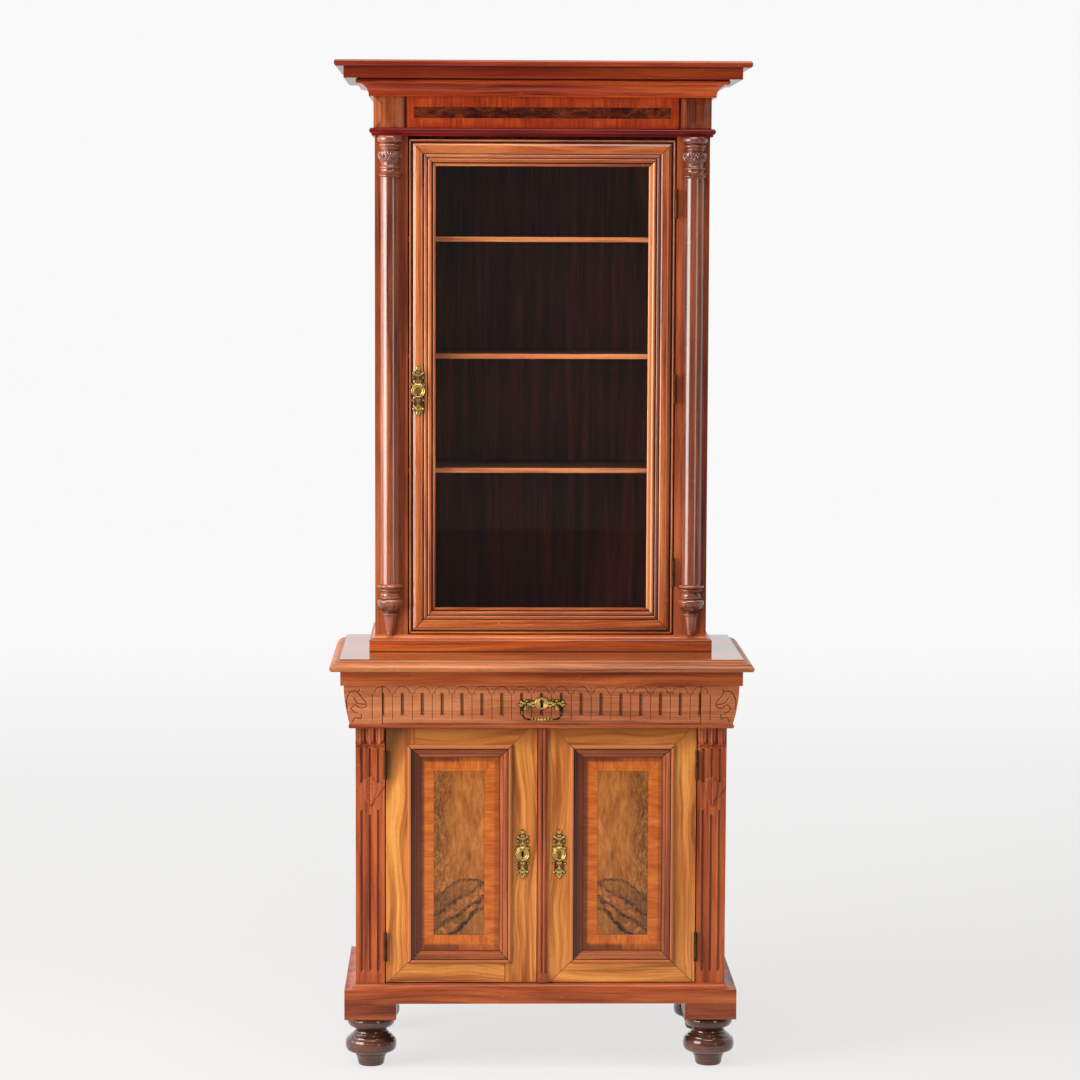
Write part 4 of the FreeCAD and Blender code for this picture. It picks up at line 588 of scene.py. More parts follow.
def carve(name, front, back, grime, material, body, node_name):
    """Carved board: rows of points on its front, with painted shade in their cuts, and two clean points behind
    each.
    """
    piece(name, lofted(np.concatenate([front, back], axis=1)), material, body, [node_name],
          np.pad(grime, ((0, 0), (0, 2))))


def box_mm(node_name):
    """Lowest and highest corners of a node, in millimetres."""
    return [np.array(corner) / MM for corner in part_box(node_name)]


def spread(x, y, z):
    """Points from their three parts, spread over one grid."""
    return np.stack(np.broadcast_arrays(x, y, z), axis=-1)


def unit(values):
    """The values, kept between 0 and 1."""
    return np.clip(values, 0.0, 1.0)


def dome(reach):
    """Height of a round dome at a distance from its middle, both as shares of its radius."""
    return np.sqrt(unit(1.0 - reach * reach))


def from_upright(aside, z, low, high):
    """Distance from an upright line between two heights, for points that lie aside of it."""
    return np.hypot(aside, np.maximum(np.maximum(low - z, z - high), 0.0))


def lofted(rings):
    """Closed skin through rings, an array of rows of points round closed outlines: quads join
    neighbouring rows, and flat caps close the first and the last."""
    rows, count = rings.shape[:2]
    index = np.arange(rows * count).reshape(rows, count)
    after = np.roll(index, -1, axis=1)
    quads = np.stack([index[:-1], after[:-1], after[1:], index[1:]], axis=-1).reshape(-1, 4)
    return rings.reshape(-1, 3), quads.tolist() + [index[0][::-1].tolist(), index[-1].tolist()]


def turning(items, low, height, steps=12):
    """Radii and heights along a turned profile: between two items the radius runs straight, plus the
    later item's swell times 4 t (1 - t). Heights are shares of height above low."""
    share = np.linspace(0.0, 1.0, steps, endpoint=False)
    radii, heights = [], []
    for (r0, z0, _), (r1, z1, swell) in zip(items[:-1], items[1:]):
        radii.append(r0 + (r1 - r0) * share + swell * 4 * share * (1 - share))
        heights.append(low + height * (z0 + (z1 - z0) * share))
    radii.append([items[-1][0]])
    heights.append([low + height * items[-1][1]])
    return np.concatenate(radii), np.concatenate(heights)


# Columns
COLUMN_X = 313.5
SHAFT = 21.0
BASE_LOW, BASE_HEIGHT = 893.0, 107.0
CAPITAL_LOW, CAPITAL_HEIGHT = 1840.0, 85.0
# The carved stretches of base and capital: where each begins and how far it goes, as shares
BULB, BAND = (0.44, 0.195), (0.365, 0.245)
BASE_TURNING = [
    (8.0, 0.0, 0), (15.0, 0.374, 0.6), (16.8, 0.388, 0.2), (16.8, 0.42, 1.2), (14.4, 0.44, 0),
    (27.4, 0.635, 3.2), (24.6, 0.70, 1.6), (21.3, 0.71, 0), (23.5, 0.735, 0.8), (21.3, 0.757, 0.8),
    (17.9, 0.84, 1.5), (23.0, 0.87, -0.6), (23.0, 0.90, 0.8), (21.3, 0.915, 0), (25.8, 0.93, 0),
    (25.8, 0.98, 1.6), (21.0, 1.0, 0),
]
CAPITAL_TURNING = [
    (21.0, 0.0, 0), (24.0, 0.024, 0), (24.0, 0.059, 0.8), (28.0, 0.094, 0), (20.2, 0.17, -2.0),
    (20.2, 0.194, 0), (20.2, 0.27, 2.2), (18.5, 0.306, -0.4), (19.6, 0.365, 0), (24.6, 0.61, 3.0),
    (19.0, 0.635, 0), (20.7, 0.676, 0), (20.7, 0.724, 1.2), (22.4, 0.741, 0), (22.4, 0.80, 1.4),
    (20.7, 0.824, 0), (24.1, 0.841, 0), (24.1, 1.0, 3.2),
]


def leaf_lobes(angle, share):
    """Carved leaves round the bulb: lobes of |cos| with a cut between each two, fading out at both ends of
    the band. 0 is the turned surface, 1 the deepest cut."""
    return unit(1.0 - np.abs(np.cos(4.0 * angle)) * 2.2) * unit(np.minimum(share, 1 - share) * 6.0)


def volute_band(angle, share):
    """Carved band of the capital: rings round the eye of each rolled volute, and between them leaves, a
    fan of grooves."""
    period = math.pi / 2.4
    offset = (angle - math.pi / 2 + period / 2) % period - period / 2
    reach = np.hypot((np.abs(offset) - 0.34) * 22.0, (share - 0.55) * 20.0)
    rings, fan = 0.5 - 0.5 * np.cos(reach * 2 * math.pi / 3.4), 0.4 + 0.4 * np.cos(offset * 26.0)
    return np.where(reach < 7.5, rings, fan) * unit(np.minimum(share, 1 - share) * 8.0)


def make_column(side):
    """Half column: rings of a half disc, whose radius follows the turning, less the carving in the bulb
    of the base and in the band of the capital."""
    base_r, base_z = turning(BASE_TURNING, BASE_LOW, BASE_HEIGHT)
    cap_r, cap_z = turning(CAPITAL_TURNING, CAPITAL_LOW, CAPITAL_HEIGHT)
    shaft_z = np.linspace(base_z[-1] + 0.4, cap_z[0] - 0.4, 14)
    radius = np.concatenate([base_r, np.full(len(shaft_z), SHAFT), cap_r])
    z, turn = np.meshgrid(np.concatenate([base_z, shaft_z, cap_z]), np.linspace(0.0, math.pi, 97), indexing="ij")
    bulb = (z - BASE_LOW) / BASE_HEIGHT
    band = (z - CAPITAL_LOW) / CAPITAL_HEIGHT
    cut = 0.0
    for place, (start, length), carving, depth in ((bulb, BULB, leaf_lobes, 0.7), (band, BAND, volute_band, 2.0)):
        share = (place - start) / length
        cut = cut + np.where((share > 0) & (share < 1), carving(turn, share) * depth, 0.0)
    cut = np.minimum(cut, radius[:, None] * 0.5)
    r = radius[:, None] - cut
    # Painted shade in the carved cuts, in the narrow necks of the turning, and under the bulb of the base
    narrow = np.clip(-np.gradient(np.gradient(radius)), -1, 0)[:, None] * -0.5
    under_bulb = np.exp(-((bulb - 0.50) / 0.06) ** 2) * 0.7
    grime = np.clip(cut / 3.2 + narrow + under_bulb, 0.0, 0.8)
    node_name = "column_" + SIDES[side]
    rings = spread(side * COLUMN_X + r * np.cos(turn), UPPER_FRONT - r * np.sin(turn), z)
    piece("carved_" + node_name, lofted(rings), column_polish, "root", [node_name], grime)


# Pilasters
PILASTER_X = 353.0
PILASTER_HALF = 30.0
FLUTE_RADIUS = 3.0
FLUTE_PITCH = 17.0
FLUTES = [(-1, 599.0, 667.0), (0, 611.0, 667.0), (1, 599.0, 667.0), (-1, 203.0, 537.0), (0, 203.0, 527.0),
          (1, 203.0, 537.0)]
LEAF_TIP, LEAF_TOP, HEAD_LOW, PETAL_LOW, PETAL_TOP = 547.0, 609.0, 672.0, 679.0, 712.0


def pilaster_relief(x, z):
    """Height of the pilaster's carving in front of its face, and the shade painted into it: round grooves with
    ball ends, three petals that hang at the head, and a pointed leaf that ends the upper field. The shade lies in
    the grooves, round the leaf, between the petals and under their scalloped edge."""
    height = np.zeros_like(x)
    grime = np.zeros_like(x)
    for place, low, high in FLUTES:
        depth = dome(from_upright(x - place * FLUTE_PITCH, z, low, high) / FLUTE_RADIUS)
        height -= depth * FLUTE_RADIUS * 0.95
        grime = np.maximum(grime, depth * 0.5)
    field = unit((z - LEAF_TIP + 1.0 - np.abs(x) * 1.45) / 1.6)
    height += np.where(z < HEAD_LOW, field * 1.6, 1.6)
    share = unit((LEAF_TOP - z) / (LEAF_TOP - LEAF_TIP))
    width = 15.0 * np.sin(math.pi * np.clip(share, 0.001, 0.999) ** 0.62) ** 0.75 + 1.2 * np.sin(z * 0.9) ** 2
    inside = unit(1.0 - (np.abs(x) / np.maximum(width, 0.5))) * ((z < LEAF_TOP) & (z > LEAF_TIP))
    veins = 0.5 + 0.5 * np.cos((z + np.abs(x) * 1.4) * 2 * math.pi / 9.0)
    rib = np.exp(-(x / 1.1) ** 2)
    height += np.minimum(inside * 3.0, 1.0) * 2.0 - np.minimum(inside * 4.0, 1.0) * (veins * 0.7 + rib * 1.2)
    outline = np.exp(-((inside - 0.06) / 0.08) ** 2) * (inside > 0)
    grime = np.maximum(grime, outline * 0.45)
    lobe = (x + 30.0) % 20.0 - 10.0
    droop = unit((PETAL_TOP - z) / (PETAL_TOP - PETAL_LOW))
    tip = dome(unit((691.0 - z) / 12.0))
    petal = unit(1.0 - (lobe / (9.6 * np.maximum(tip, 0.02))) ** 2) * (z > PETAL_LOW)
    groove = np.exp(-((np.abs(lobe) - 3.4) / 1.0) ** 2)
    height += np.where(petal > 0, np.sqrt(petal) * (2.8 + 2.6 * droop ** 2) - groove * 1.2, 0.0)
    between = np.exp(-((np.abs(lobe) - 10.0) / 2.0) ** 2)
    grime = np.maximum(grime, np.where(z > 676.0, groove * 0.35 + between, 0.0))
    scallop = HEAD_LOW + 3.4 * np.abs(np.sin((x + 30.0) * math.pi / 20.0))
    height += np.where((z > scallop) & (z <= PETAL_LOW + 0.5), 1.3, 0.0)
    grime = np.maximum(grime, np.exp(-((z - scallop + 1.2) / 1.1) ** 2) * 0.7)
    return height, np.clip(grime, 0.0, 0.8)


def make_pilaster(side):
    """Carved pilaster: rings round its section, whose front edge is the relief."""
    node_name = "pilaster_" + SIDES[side]
    (_, _, bottom), (_, rear, top) = box_mm(node_name)
    z = np.concatenate([np.linspace(bottom, 520.0, 90, endpoint=False), np.linspace(520.0, top, 190)])
    up, across = np.meshgrid(z, np.linspace(-PILASTER_HALF, PILASTER_HALF, 101), indexing="ij")
    height, grime = pilaster_relief(across, up)
    front = spread(side * PILASTER_X + across, LOWER_FRONT - height, up)
    back = spread(side * PILASTER_X + np.array([PILASTER_HALF, -PILASTER_HALF]), rear, up[:, :2])
    carve("carved_" + node_name, front, back, grime, carved_walnut, "root", node_name)


# Drawer front and the fixed ends beside it
TIER_LOW, TIER_HIGH, TIER_SWELL = 11.5, 23.5, 2.6
BAY = 40.8
ARCH_HALF, ARCH_RISE, ARCH_FOOT = 15.0, 13.6, 787.0


def tier_out(z):
    """How far the drawer tier's swelling face stands out at a height: a straight run plus a parabola."""
    share = (z - Z_DRAWER) / (Z_APRON - Z_DRAWER)
    return TIER_LOW + (TIER_HIGH - TIER_LOW) * share + TIER_SWELL * 4 * share * (1 - share)


def incised(distance, width, depth):
    """Rounded cut: deepest on its line, nothing beyond width."""
    return depth * unit(1.0 - (distance / width) ** 2)


def arch_cut(aside, z):
    """Cut along the upper half of an ellipse."""
    on_arch = np.abs(np.hypot(aside / ARCH_HALF, (z - ARCH_FOOT) / ARCH_RISE) - 1.0) * 13.0
    return np.where(z > ARCH_FOOT - 0.5, incised(on_arch, 1.1, 1.2), 0.0)


def drawer_relief(x, z):
    """Depth of the drawer front's carving and the shade painted into its cuts: a row of arches over round-bottomed
    flutes, with upright lines between the bays and a dot above each line."""
    bay = (x + BAY / 2) % BAY - BAY / 2
    side = np.abs(bay)
    foot = 737.5 + 3.5 * (1.0 - side / 3.75)
    flute = 2.8 * dome(bay / 3.75) * unit(np.minimum((z - foot) / 1.2, (788.0 - z) / 2.5))
    cuts = [arch_cut(bay, z), incised(np.hypot(np.maximum(14.5 - side, 0.0), z - 786.8), 1.0, 1.0),
            incised(from_upright(BAY / 2 - side, z, 732.0, 784.0), 1.0, 1.2),
            incised(np.hypot(BAY / 2 - side, z - 797.0), 1.5, 1.4), flute]
    cut = np.max(cuts, axis=0)
    return cut, np.clip(cut / 2.4, 0.0, 0.62)


def make_drawer_front():
    """Carved drawer front: rings round its section at every step along its length."""
    (_, _, bottom), (half, rear, top) = box_mm("drawer_front")
    bay = np.concatenate([[0.0, 3.2, 3.75, 4.3, 19.0, 19.7, 20.4], np.linspace(0, BAY / 2, 23)])
    x = np.concatenate([k * BAY + s * bay for k in range(-8, 9) for s in (-1, 1)])
    x = np.unique(np.round(np.clip(x, -half, half), 3))
    across, up = np.meshgrid(x, np.linspace(bottom, top, 96), indexing="ij")
    cut, grime = drawer_relief(across, up)
    front = spread(across, LOWER_FRONT - tier_out(up) + cut, up)
    back = spread(across[:, :2], rear, [top, bottom])
    carve("carved_drawer_front", front, back, grime, carved_level, "drawer", "drawer_front")


# Scrolls cut into the left fixed end, as points in millimetres: across from the cabinet's middle, height
END_SCROLLS = [
    [(-399, 753), (-400, 770), (-394, 786), (-384, 792), (-375, 789), (-374, 795)],
    [(-376, 788), (-368, 777), (-361, 768), (-360, 759), (-371, 755), (-382, 762), (-391, 754)],
    [(-385, 777), (-377, 766), (-362, 763)],
    [(-391, 754), (-384, 747), (-378, 745)],
    [(-370, 742), (-371, 733), (-382, 735), (-388, 726)],
]
END_LINE = 347.5
END_ARCH = 327.0
END_BOARD = 18.0


def flowing(points, steps=14):
    """Smooth run through points: a uniform Catmull-Rom curve, sampled."""
    p = np.array(points, float)
    p = np.vstack([2 * p[0] - p[1], p, 2 * p[-1] - p[-2]])
    t = np.linspace(0.0, 1.0, steps, endpoint=False)[:, None]
    runs = []
    for a, b, c, d in zip(p[:-3], p[1:-2], p[2:-1], p[3:]):
        runs.append(0.5 * (2 * b + (c - a) * t + (2 * a - 5 * b + 4 * c - d) * t ** 2
                           + (3 * b - a - 3 * c + d) * t ** 3))
    return np.vstack(runs + [p[-2][None]])


def distance_to(run, x, z):
    """Distance of every point of a grid from a sampled run."""
    best = np.full(x.shape, 1e9)
    for (x0, z0), (x1, z1) in zip(run[:-1], run[1:]):
        length = max((x1 - x0) ** 2 + (z1 - z0) ** 2, 1e-9)
        t = np.clip(((x - x0) * (x1 - x0) + (z - z0) * (z1 - z0)) / length, 0.0, 1.0)
        best = np.minimum(best, np.hypot(x - x0 - t * (x1 - x0), z - z0 - t * (z1 - z0)))
    return best


def make_fixed_end(side):
    """Fixed end of the drawer tier: its section carried from the drawer opening to the corner, round
    it, and back along the side, with scrolls cut into the front run."""
    node_name = "drawer_tier_" + SIDES[side]
    low, high = box_mm(node_name)
    inner, rear = min(abs(low[0]), abs(high[0])), high[1]
    z = np.linspace(Z_DRAWER, Z_APRON, 90)
    out = tier_out(z)
    share = np.linspace(0.0, 1.0, 86)[:, None]
    across = inner + (LOWER_HALF + out - inner) * share
    up = np.broadcast_to(z, across.shape)
    cuts = [incised(distance_to(flowing(scroll), -across, up), 1.3, 1.5) for scroll in END_SCROLLS]
    cuts += [incised(from_upright(across - END_LINE, up, 730.0, 784.0), 1.1, 1.3), arch_cut(across - END_ARCH, up)]
    cut = np.max(cuts, axis=0) * unit((1.0 - share) * 30.0)
    front = spread(side * across, LOWER_FRONT - out + cut, up)
    side_y = LOWER_FRONT - out + (rear - LOWER_FRONT + out) * np.linspace(0.0, 1.0, 12)[1:, None]
    flank = spread(side * (LOWER_HALF + out), side_y, z)
    face = np.concatenate([front, flank])
    inner_x = side * np.minimum(np.abs(face[:, 0, 0]), LOWER_HALF - END_BOARD)
    inner_y = np.maximum(face[:, 0, 1], LOWER_FRONT + END_BOARD)
    back = spread(inner_x[:, None], inner_y[:, None], [Z_APRON, Z_DRAWER])
    # Painted shade in the cut scrolls, lines and arches
    grime = np.pad(np.clip(cut / 1.8, 0.0, 0.6), ((0, len(flank)), (0, 0)))
    carve("carved_tier_end_" + SIDES[side], face, back, grime, carved_level, "root", node_name)


# Brass fittings: a lobe is (across, up, half width, half height, how far it stands out), a rod (its run,
# radius, how far it stands out), an eye (across, up, half width, half height), a ring (across, up, radius,
# thickness, how far it stands out), a keyhole (its eye's height, its slot's half width, taper, middle and
# half height). What stands right of the middle has its mirror image on the left.
PLATE_LOBES = [
    (0, 0, 15.5, 14.5, 1.0), (0, 49, 5.2, 5.0, 2.2), (0, 41.5, 6.5, 3.0, 1.6), (0, 36, 8.5, 5.0, 1.4),
    (9.6, 38.5, 3.2, 2.8, 2.4), (0, 27, 10.5, 8.0, 1.6), (10.5, 29.5, 3.0, 4.0, 1.2), (0, 17.5, 7.5, 5.5, 1.8),
    (11.0, 14.0, 4.5, 3.6, 1.6), (0, -18.0, 8.0, 4.0, 1.4), (11.5, -19.5, 3.4, 2.6, 1.8), (0, -27, 10.0, 7.5, 1.6),
    (0, -37, 7.0, 5.5, 2.2), (9.8, -38.5, 3.2, 2.8, 2.4), (0, -47.5, 5.0, 5.6, 2.0), (5.0, -43, 3.6, 3.2, 1.4),
]
PLATE_RODS = [
    ([(0, 36), (5.0, 34.5), (9.6, 38.5)], 1.9, 1.6), ([(0, -36), (5.0, -34.0), (9.8, -38.5)], 1.9, 1.6),
    ([(3.0, 18.0), (8.0, 12.0), (11.0, 8.0)], 2.0, 1.6),
]
PLATE_EYES = [(5.0, 27.5, 2.5, 3.1), (5.2, -27.0, 2.4, 3.1)]
PLATE_RINGS = [(0, 0, 13.4, 1.7, 1.6), (0, 0, 9.6, 1.3, 0.9)]
PLATE_KEYHOLE = (4.4, 1.5, 0.06, -2.5, 6.5)
PULL_LOBES = [
    (0, 2.0, 15.0, 13.5, 1.4), (17, 3.5, 8.0, 4.0, 1.6), (17, -3.5, 7.0, 3.6, 1.4), (25, 0.5, 6.0, 5.0, 2.0),
    (30, 7.0, 4.2, 3.4, 1.6), (31, -6.0, 6.0, 5.0, 1.6), (36, 2.0, 5.0, 4.2, 2.0), (42, -2.0, 4.6, 4.0, 1.8),
    (43, 5.0, 3.2, 4.6, 1.6), (47.5, -0.5, 4.0, 2.2, 1.8), (38, -10.5, 3.6, 3.4, 1.4), (23, 8.5, 3.0, 2.4, 1.2),
]
PULL_EYES = [(26.5, 5.2, 1.5, 1.3), (36.0, 6.2, 1.4, 1.6), (25.5, -5.0, 1.7, 1.3)]
PULL_RINGS = [(0, 2.0, 12.4, 1.6, 1.6), (0, 2.0, 8.8, 1.2, 1.0)]
PULL_KEYHOLE = (5.0, 1.6, 0.0, 0.0, 6.0)
PULL_MIDDLE = 764.0
KEY_EYE = 3.2
PLATE_GRID = 0.5


def mirrored(items):
    """The items, and a mirror image of each that stands right of the middle."""
    return items + [(-item[0], *item[1:]) for item in items if item[0] > 0]


def cast_relief(x, z, lobes, rods, rings, eyes, keyhole):
    """How deep inside a casting a point is (negative outside) and how far it stands out. The casting is
    the union of domed lobes, round rods and rings, less its eyes and keyhole."""
    inside = np.full(x.shape, -1e3)
    height = np.zeros(x.shape)
    for cx, cz, half_x, half_z, rise in mirrored(lobes):
        q = np.hypot((x - cx) / half_x, (z - cz) / half_z)
        inside = np.maximum(inside, (1.0 - q) * min(half_x, half_z))
        height = np.maximum(height, rise * dome(q))
    for run, radius, rise in rods:
        reach = distance_to(flowing(run), np.abs(x), z)
        inside = np.maximum(inside, radius - reach)
        height = np.maximum(height, rise * dome(reach / radius))
    for cx, cz, radius, thick, rise in rings:
        height = np.maximum(height, 1.0 + rise * dome((np.hypot(x - cx, z - cz) - radius) / thick))
    for cx, cz, half_x, half_z in mirrored(eyes):
        q = np.hypot((x - cx) / half_x, (z - cz) / half_z)
        inside = np.minimum(inside, (q - 1.0) * min(half_x, half_z))
    if keyhole:
        eye_height, half_slot, taper, middle, half_height = keyhole
        slot = np.maximum(np.abs(x) - half_slot + taper * z, np.abs(z - middle) - half_height)
        inside = np.minimum(inside, np.minimum(np.hypot(x, z - eye_height) - KEY_EYE, slot))
    return inside, height


def cut_plate(across, up, inside, back, rise):
    """Closed casting over a grid: cells whose middle is inside are kept, their outer corners slide to
    the edge along the slope of inside, and walls join the front and the back. Also gives which point of
    the grid each of its points is."""
    x, z = np.meshgrid(across, up, indexing="ij")
    keep = inside[:-1, :-1] + inside[1:, :-1] + inside[1:, 1:] + inside[:-1, 1:] > 0
    padded = np.pad(keep, 1)
    around = padded[:-1, :-1] & padded[1:, :-1] & padded[1:, 1:] & padded[:-1, 1:]
    gx, gz = np.gradient(inside, PLATE_GRID)
    shift = np.where(around, 0.0, inside / np.maximum(gx ** 2 + gz ** 2, 0.05))
    most = PLATE_GRID * 0.6
    x = x - np.clip(shift * gx, -most, most)
    z = z - np.clip(shift * gz, -most, most)
    total = x.size
    index = np.arange(total).reshape(x.shape)
    a, b, c, d = index[:-1, :-1], index[1:, :-1], index[1:, 1:], index[:-1, 1:]
    cells = np.stack([a[keep], b[keep], c[keep], d[keep]], axis=-1)
    walls = []
    for start, end, beside in ((a, b, padded[1:-1, :-2]), (b, c, padded[2:, 1:-1]), (c, d, padded[1:-1, 2:]),
                               (d, a, padded[:-2, 1:-1])):
        edge = keep & ~beside
        walls.append(np.stack([end[edge], start[edge], start[edge] + total, end[edge] + total], axis=-1))
    quads = np.concatenate([cells, cells[:, ::-1] + total] + walls)
    points = np.concatenate([spread(x, y, z).reshape(-1, 3) for y in (back(z) - rise, back(z))])
    used, compact = np.unique(quads, return_inverse=True)
    return points[used], compact.reshape(quads.shape).tolist(), used % total


def make_plate(name, node_name, body, half_width, half_height, squeeze, casting, middle, back, rim, wear,
               thickest=math.inf, painted_hole=False):
    """Brass plate in relief, round a middle and on a back, which is a function of the height above the middle. Its
    rim is rim thick. It is bright on its heights and dark with patina in its hollows, with painted shade along its
    edge, and where asked a keyhole painted as a dark patch of shade."""
    across, up = (np.arange(-half, half + 0.01, PLATE_GRID) for half in (half_width, half_height))
    x, z = np.meshgrid(across, up, indexing="ij")
    inside, height = cast_relief(x, z * squeeze, *casting)
    points, faces, kept = cut_plate(across, up, inside, back, np.minimum(rim + height, thickest))
    # Patina in the low parts, and painted shade along the edge
    grime = np.maximum(unit(1.0 - height / wear), unit(1.1 - inside / 1.2))
    # A painted keyhole: a dark patch of shade, with no hole cut
    if painted_hole:
        grime = np.maximum(grime, unit(3.0 - 2.6 * np.hypot(x / 2.6, (z - 1.0) / 6.5)))
    skin = (points + np.array(middle), faces)
    piece(name, skin, brass, body, [node_name], grime.reshape(-1)[kept])


def make_escutcheon(name, body, keyhole):
    """Brass keyhole plate, lying where the plain plate of the part lies."""
    node_name = body + "_escutcheon"
    low, high = box_mm(node_name)
    casting = (PLATE_LOBES, PLATE_RODS, PLATE_RINGS, PLATE_EYES, keyhole)
    middle = ((low[0] + high[0]) / 2, 0.0, (low[2] + high[2]) / 2)
    make_plate(name, node_name, body, 16.5, 55.0, 1.04, casting, middle, lambda z: high[1], 0.9, 1.3,
               high[1] - low[1] + 1.0, not keyhole)


def make_pull_plate():
    """Drawer pull's back plate: leafy arms on both sides of a round boss, bent to the swelling front."""
    make_plate("pull_plate", "drawer_pull_plate", "drawer", 52.0, 17.0, 1.0,
               (PULL_LOBES, [], PULL_RINGS, PULL_EYES, PULL_KEYHOLE), (0.0, 0.0, PULL_MIDDLE),
               lambda z: LOWER_FRONT - tier_out(z + PULL_MIDDLE), 0.8, 1.5)


POST_SPREAD = 32.5
POST_RADIUS = 4.6
BAIL_PIVOT_Y = -191.43
BAIL_PIVOT_Z = 755.0
BAIL_DROP = 22.0
BAIL_OUT = 39.7
BAIL_SIDES = 16


def make_posts():
    """Two turned posts that carry the bail: a shank with a ring, ending in a pierced ball."""
    root = LOWER_FRONT - tier_out(BAIL_PIVOT_Z) + 1.0
    y = np.linspace(root, BAIL_PIVOT_Y - POST_RADIUS, 40)[:, None]
    ball = POST_RADIUS * dome((y - BAIL_PIVOT_Y) / POST_RADIUS)
    shank = 2.6 + 1.4 * np.exp(-((y - root + 4.0) / 1.2) ** 2)
    radius = np.where(y < BAIL_PIVOT_Y + 3.6, ball, np.maximum(shank, ball))
    radius[-1] = 0.25
    turn = np.linspace(0.0, 2 * math.pi, 28, endpoint=False)
    for side, word in SIDES.items():
        rings = spread(side * POST_SPREAD + radius * np.cos(turn), y, BAIL_PIVOT_Z + radius * np.sin(turn))
        piece("pull_post_" + word, lofted(rings), brass, "drawer", [], np.full(y.size * 28, 0.3))


def tube(path, radius):
    """Round skin along a path in the upright plane: at each point a circle across the path's way."""
    way = np.gradient(path, axis=0)
    way /= np.linalg.norm(way, axis=1)[:, None]
    turn = np.linspace(0.0, 2 * math.pi, BAIL_SIDES, endpoint=False)
    aside, depth = radius[:, None] * np.cos(turn), radius[:, None] * np.sin(turn)
    return spread(path[:, :1] + way[:, 1:] * aside, BAIL_PIVOT_Y + depth, path[:, 1:] - way[:, :1] * aside)


def make_bail():
    """Hanging bail: a swan-necked bar that swells to a leaf and two beads at its middle, with a short
    pin at each end turning in its post."""
    low = BAIL_PIVOT_Z - BAIL_DROP
    right = [(POST_SPREAD - 3.0, BAIL_PIVOT_Z), (POST_SPREAD + 3.0, BAIL_PIVOT_Z),
             (BAIL_OUT, BAIL_PIVOT_Z - 1.5), (BAIL_OUT + 1.2, BAIL_PIVOT_Z - 8.0), (BAIL_OUT - 1.5, low + 7.0),
             (BAIL_OUT - 6.0, low + 2.2), (BAIL_OUT - 14.0, low + 0.4), (16.0, low + 1.6), (8.0, low + 0.6),
             (0.0, low + 0.2)]
    path = flowing(right + [(-x, z) for x, z in right[-2::-1]], 12)
    aside, drop = np.abs(path[:, 0]), BAIL_PIVOT_Z - path[:, 1]
    radius = np.where((np.abs(drop) < 1.0) & (aside < POST_SPREAD + 5.0), 1.4, 1.9)
    for place, rise, width in ((0.0, 1.2, 2.6), (7.0, 0.9, 1.3), (13.0, 0.6, 1.3), (20.0, 0.4, 1.3)):
        radius = radius + rise * np.exp(-((aside - place) / width) ** 2)
    radius = radius + 0.5 * np.exp(-(np.hypot(aside - BAIL_OUT + 0.5, drop - 9.0) / 1.6) ** 2)
    grime = np.repeat(np.clip(1.1 - (radius - 1.2) / 1.2, 0.15, 0.9), BAIL_SIDES)
    piece("hanging_bail", lofted(tube(path, radius)), brass, "bail", ["drawer_bail"], grime)


for hand in SIDES:
    make_column(hand)
    make_pilaster(hand)
    make_fixed_end(hand)
make_drawer_front()
make_escutcheon("upper_keyhole_plate", "glass_door", PLATE_KEYHOLE)
make_escutcheon("left_keyhole_plate", "left_door", None)
make_escutcheon("right_keyhole_plate", "right_door", PLATE_KEYHOLE)
make_pull_plate()
make_posts()
make_bail()


def make_stage():
    """Floor that curves up into a backdrop: a flat run, a quarter circle and an upright run."""
    curve_at, radius, wall_top, half = 11.0, 2.0, 9.0, 16.0
    turn = np.linspace(0.0, math.pi / 2, 25)
    y = np.concatenate([[-12.0, -2.0, 2.0, 6.0], curve_at + radius * np.sin(turn), [curve_at + radius]])
    z = np.concatenate([np.zeros(4), radius - radius * np.cos(turn), [wall_top]])
    points = spread([-half, half], y[:, None], z[:, None]).reshape(-1, 3)
    left = np.arange(0, len(points) - 2, 2)
    quads = np.stack([left, left + 1, left + 3, left + 2], axis=-1)
    add_mesh("studio_floor", points, quads.tolist(), floor_paint("pale_floor"))


# Lamps: a tall one on the left, a wide dim one behind it, a narrow one on the right and a soft one above,
# each with its place, the point that it looks at, its size and power
LAMP_COLOUR = (1.0, 0.965, 0.91)
LAMPS = {
    "key_softbox": ((-3.1, -1.75, 2.0), (0.0, -0.15, 1.55), (2.3, 3.1), 175.0),
    "key_spill": ((-3.5, -1.0, 2.4), (0.0, -0.2, 1.2), (4.4, 3.0), 70.0),
    "fill_softbox": ((2.3, -3.6, 1.8), (0.0, -0.1, 1.4), (0.8, 2.6), 26.0),
    "top_softbox": ((-0.3, -1.0, 4.3), (0.0, -0.1, 0.8), (3.0, 1.8), 120.0),
}


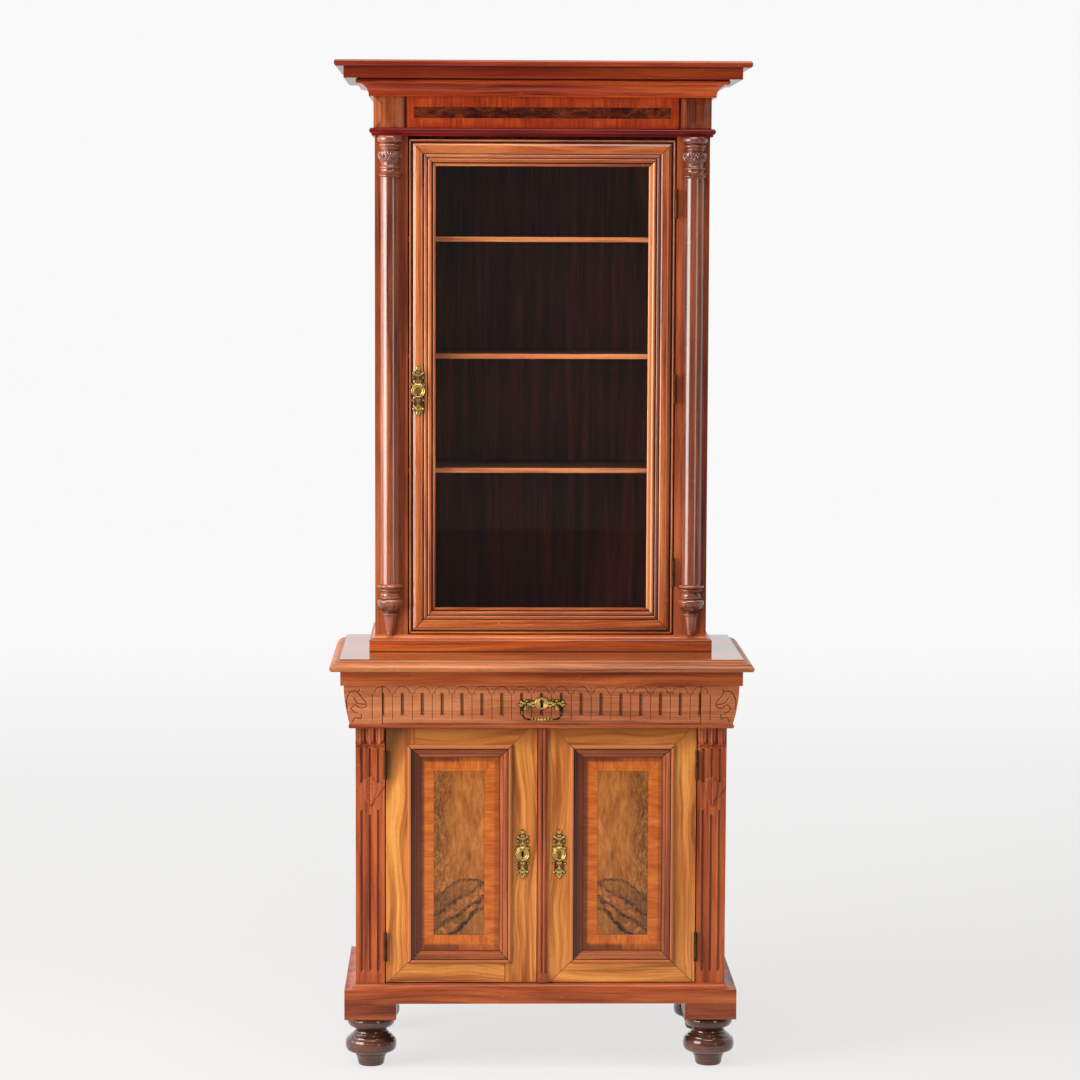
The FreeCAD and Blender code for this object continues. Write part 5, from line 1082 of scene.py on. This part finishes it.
def make_lamps():
    """Rectangular lamps, each turned towards its point."""
    for name, (place, aim, size, power) in LAMPS.items():
        lamp = bpy.data.lights.new(name, "AREA")
        lamp.shape = "RECTANGLE"
        lamp.size, lamp.size_y = size
        lamp.energy = power
        lamp.color = LAMP_COLOUR
        made = bpy.data.objects.new(name, lamp)
        made.location = place
        x, y, z = np.array(aim) - np.array(place)
        made.rotation_euler = (math.atan2(math.hypot(x, y), -z), 0.0, math.atan2(y, x) - math.pi / 2)
        bpy.context.scene.collection.objects.link(made)


def make_sky():
    """The camera sees the sky white. Glossy and clear rays see it white behind the object and dark in
    front of it, and it lights matt surfaces a little."""
    world = bpy.data.worlds.new("studio_sky")
    bpy.context.scene.world = world
    world.use_nodes = True
    nodes = Nodes(world.node_tree)
    sky = nodes.tree.nodes["Background"]
    sky.inputs["Color"].default_value = (1.0, 1.0, 1.0, 1.0)
    way = nodes.split(nodes.node("TexCoord", output="Generated"))[1]
    behind = nodes.node("MapRange", {}, {"Value": way, "From Min": -0.25, "From Max": 0.15,
                                         "To Min": SKY_FRONT, "To Max": 1.0})
    level = nodes.ray("Glossy", "Transmission") * behind
    nodes.feed(sky.inputs["Strength"], level.most(nodes.ray("Camera")).most(SKY_DIFFUSE))


def make_camera():
    """Camera as fitted to the photograph: level and looking back, then tilted, rolled and turned."""
    lens = bpy.data.cameras.new("photo_camera")
    lens.sensor_width = SENSOR
    lens.sensor_fit = "HORIZONTAL"
    lens.lens = FOCAL_PIXELS / FRAME_PIXELS * SENSOR
    lens.clip_end = 60.0
    made = bpy.data.objects.new("photo_camera", lens)
    bpy.context.scene.collection.objects.link(made)
    made.matrix_world = (Matrix.Translation(CAMERA_PLACE) @ Matrix.Rotation(-CAMERA_YAW, 4, "Z")
                         @ Matrix.Rotation(math.pi / 2 - CAMERA_PITCH, 4, "X")
                         @ Matrix.Rotation(CAMERA_ROLL, 4, "Z"))
    bpy.context.scene.camera = made


make_stage()
make_lamps()
make_sky()
make_camera()
bpy.context.scene.view_settings.view_transform = "Standard"
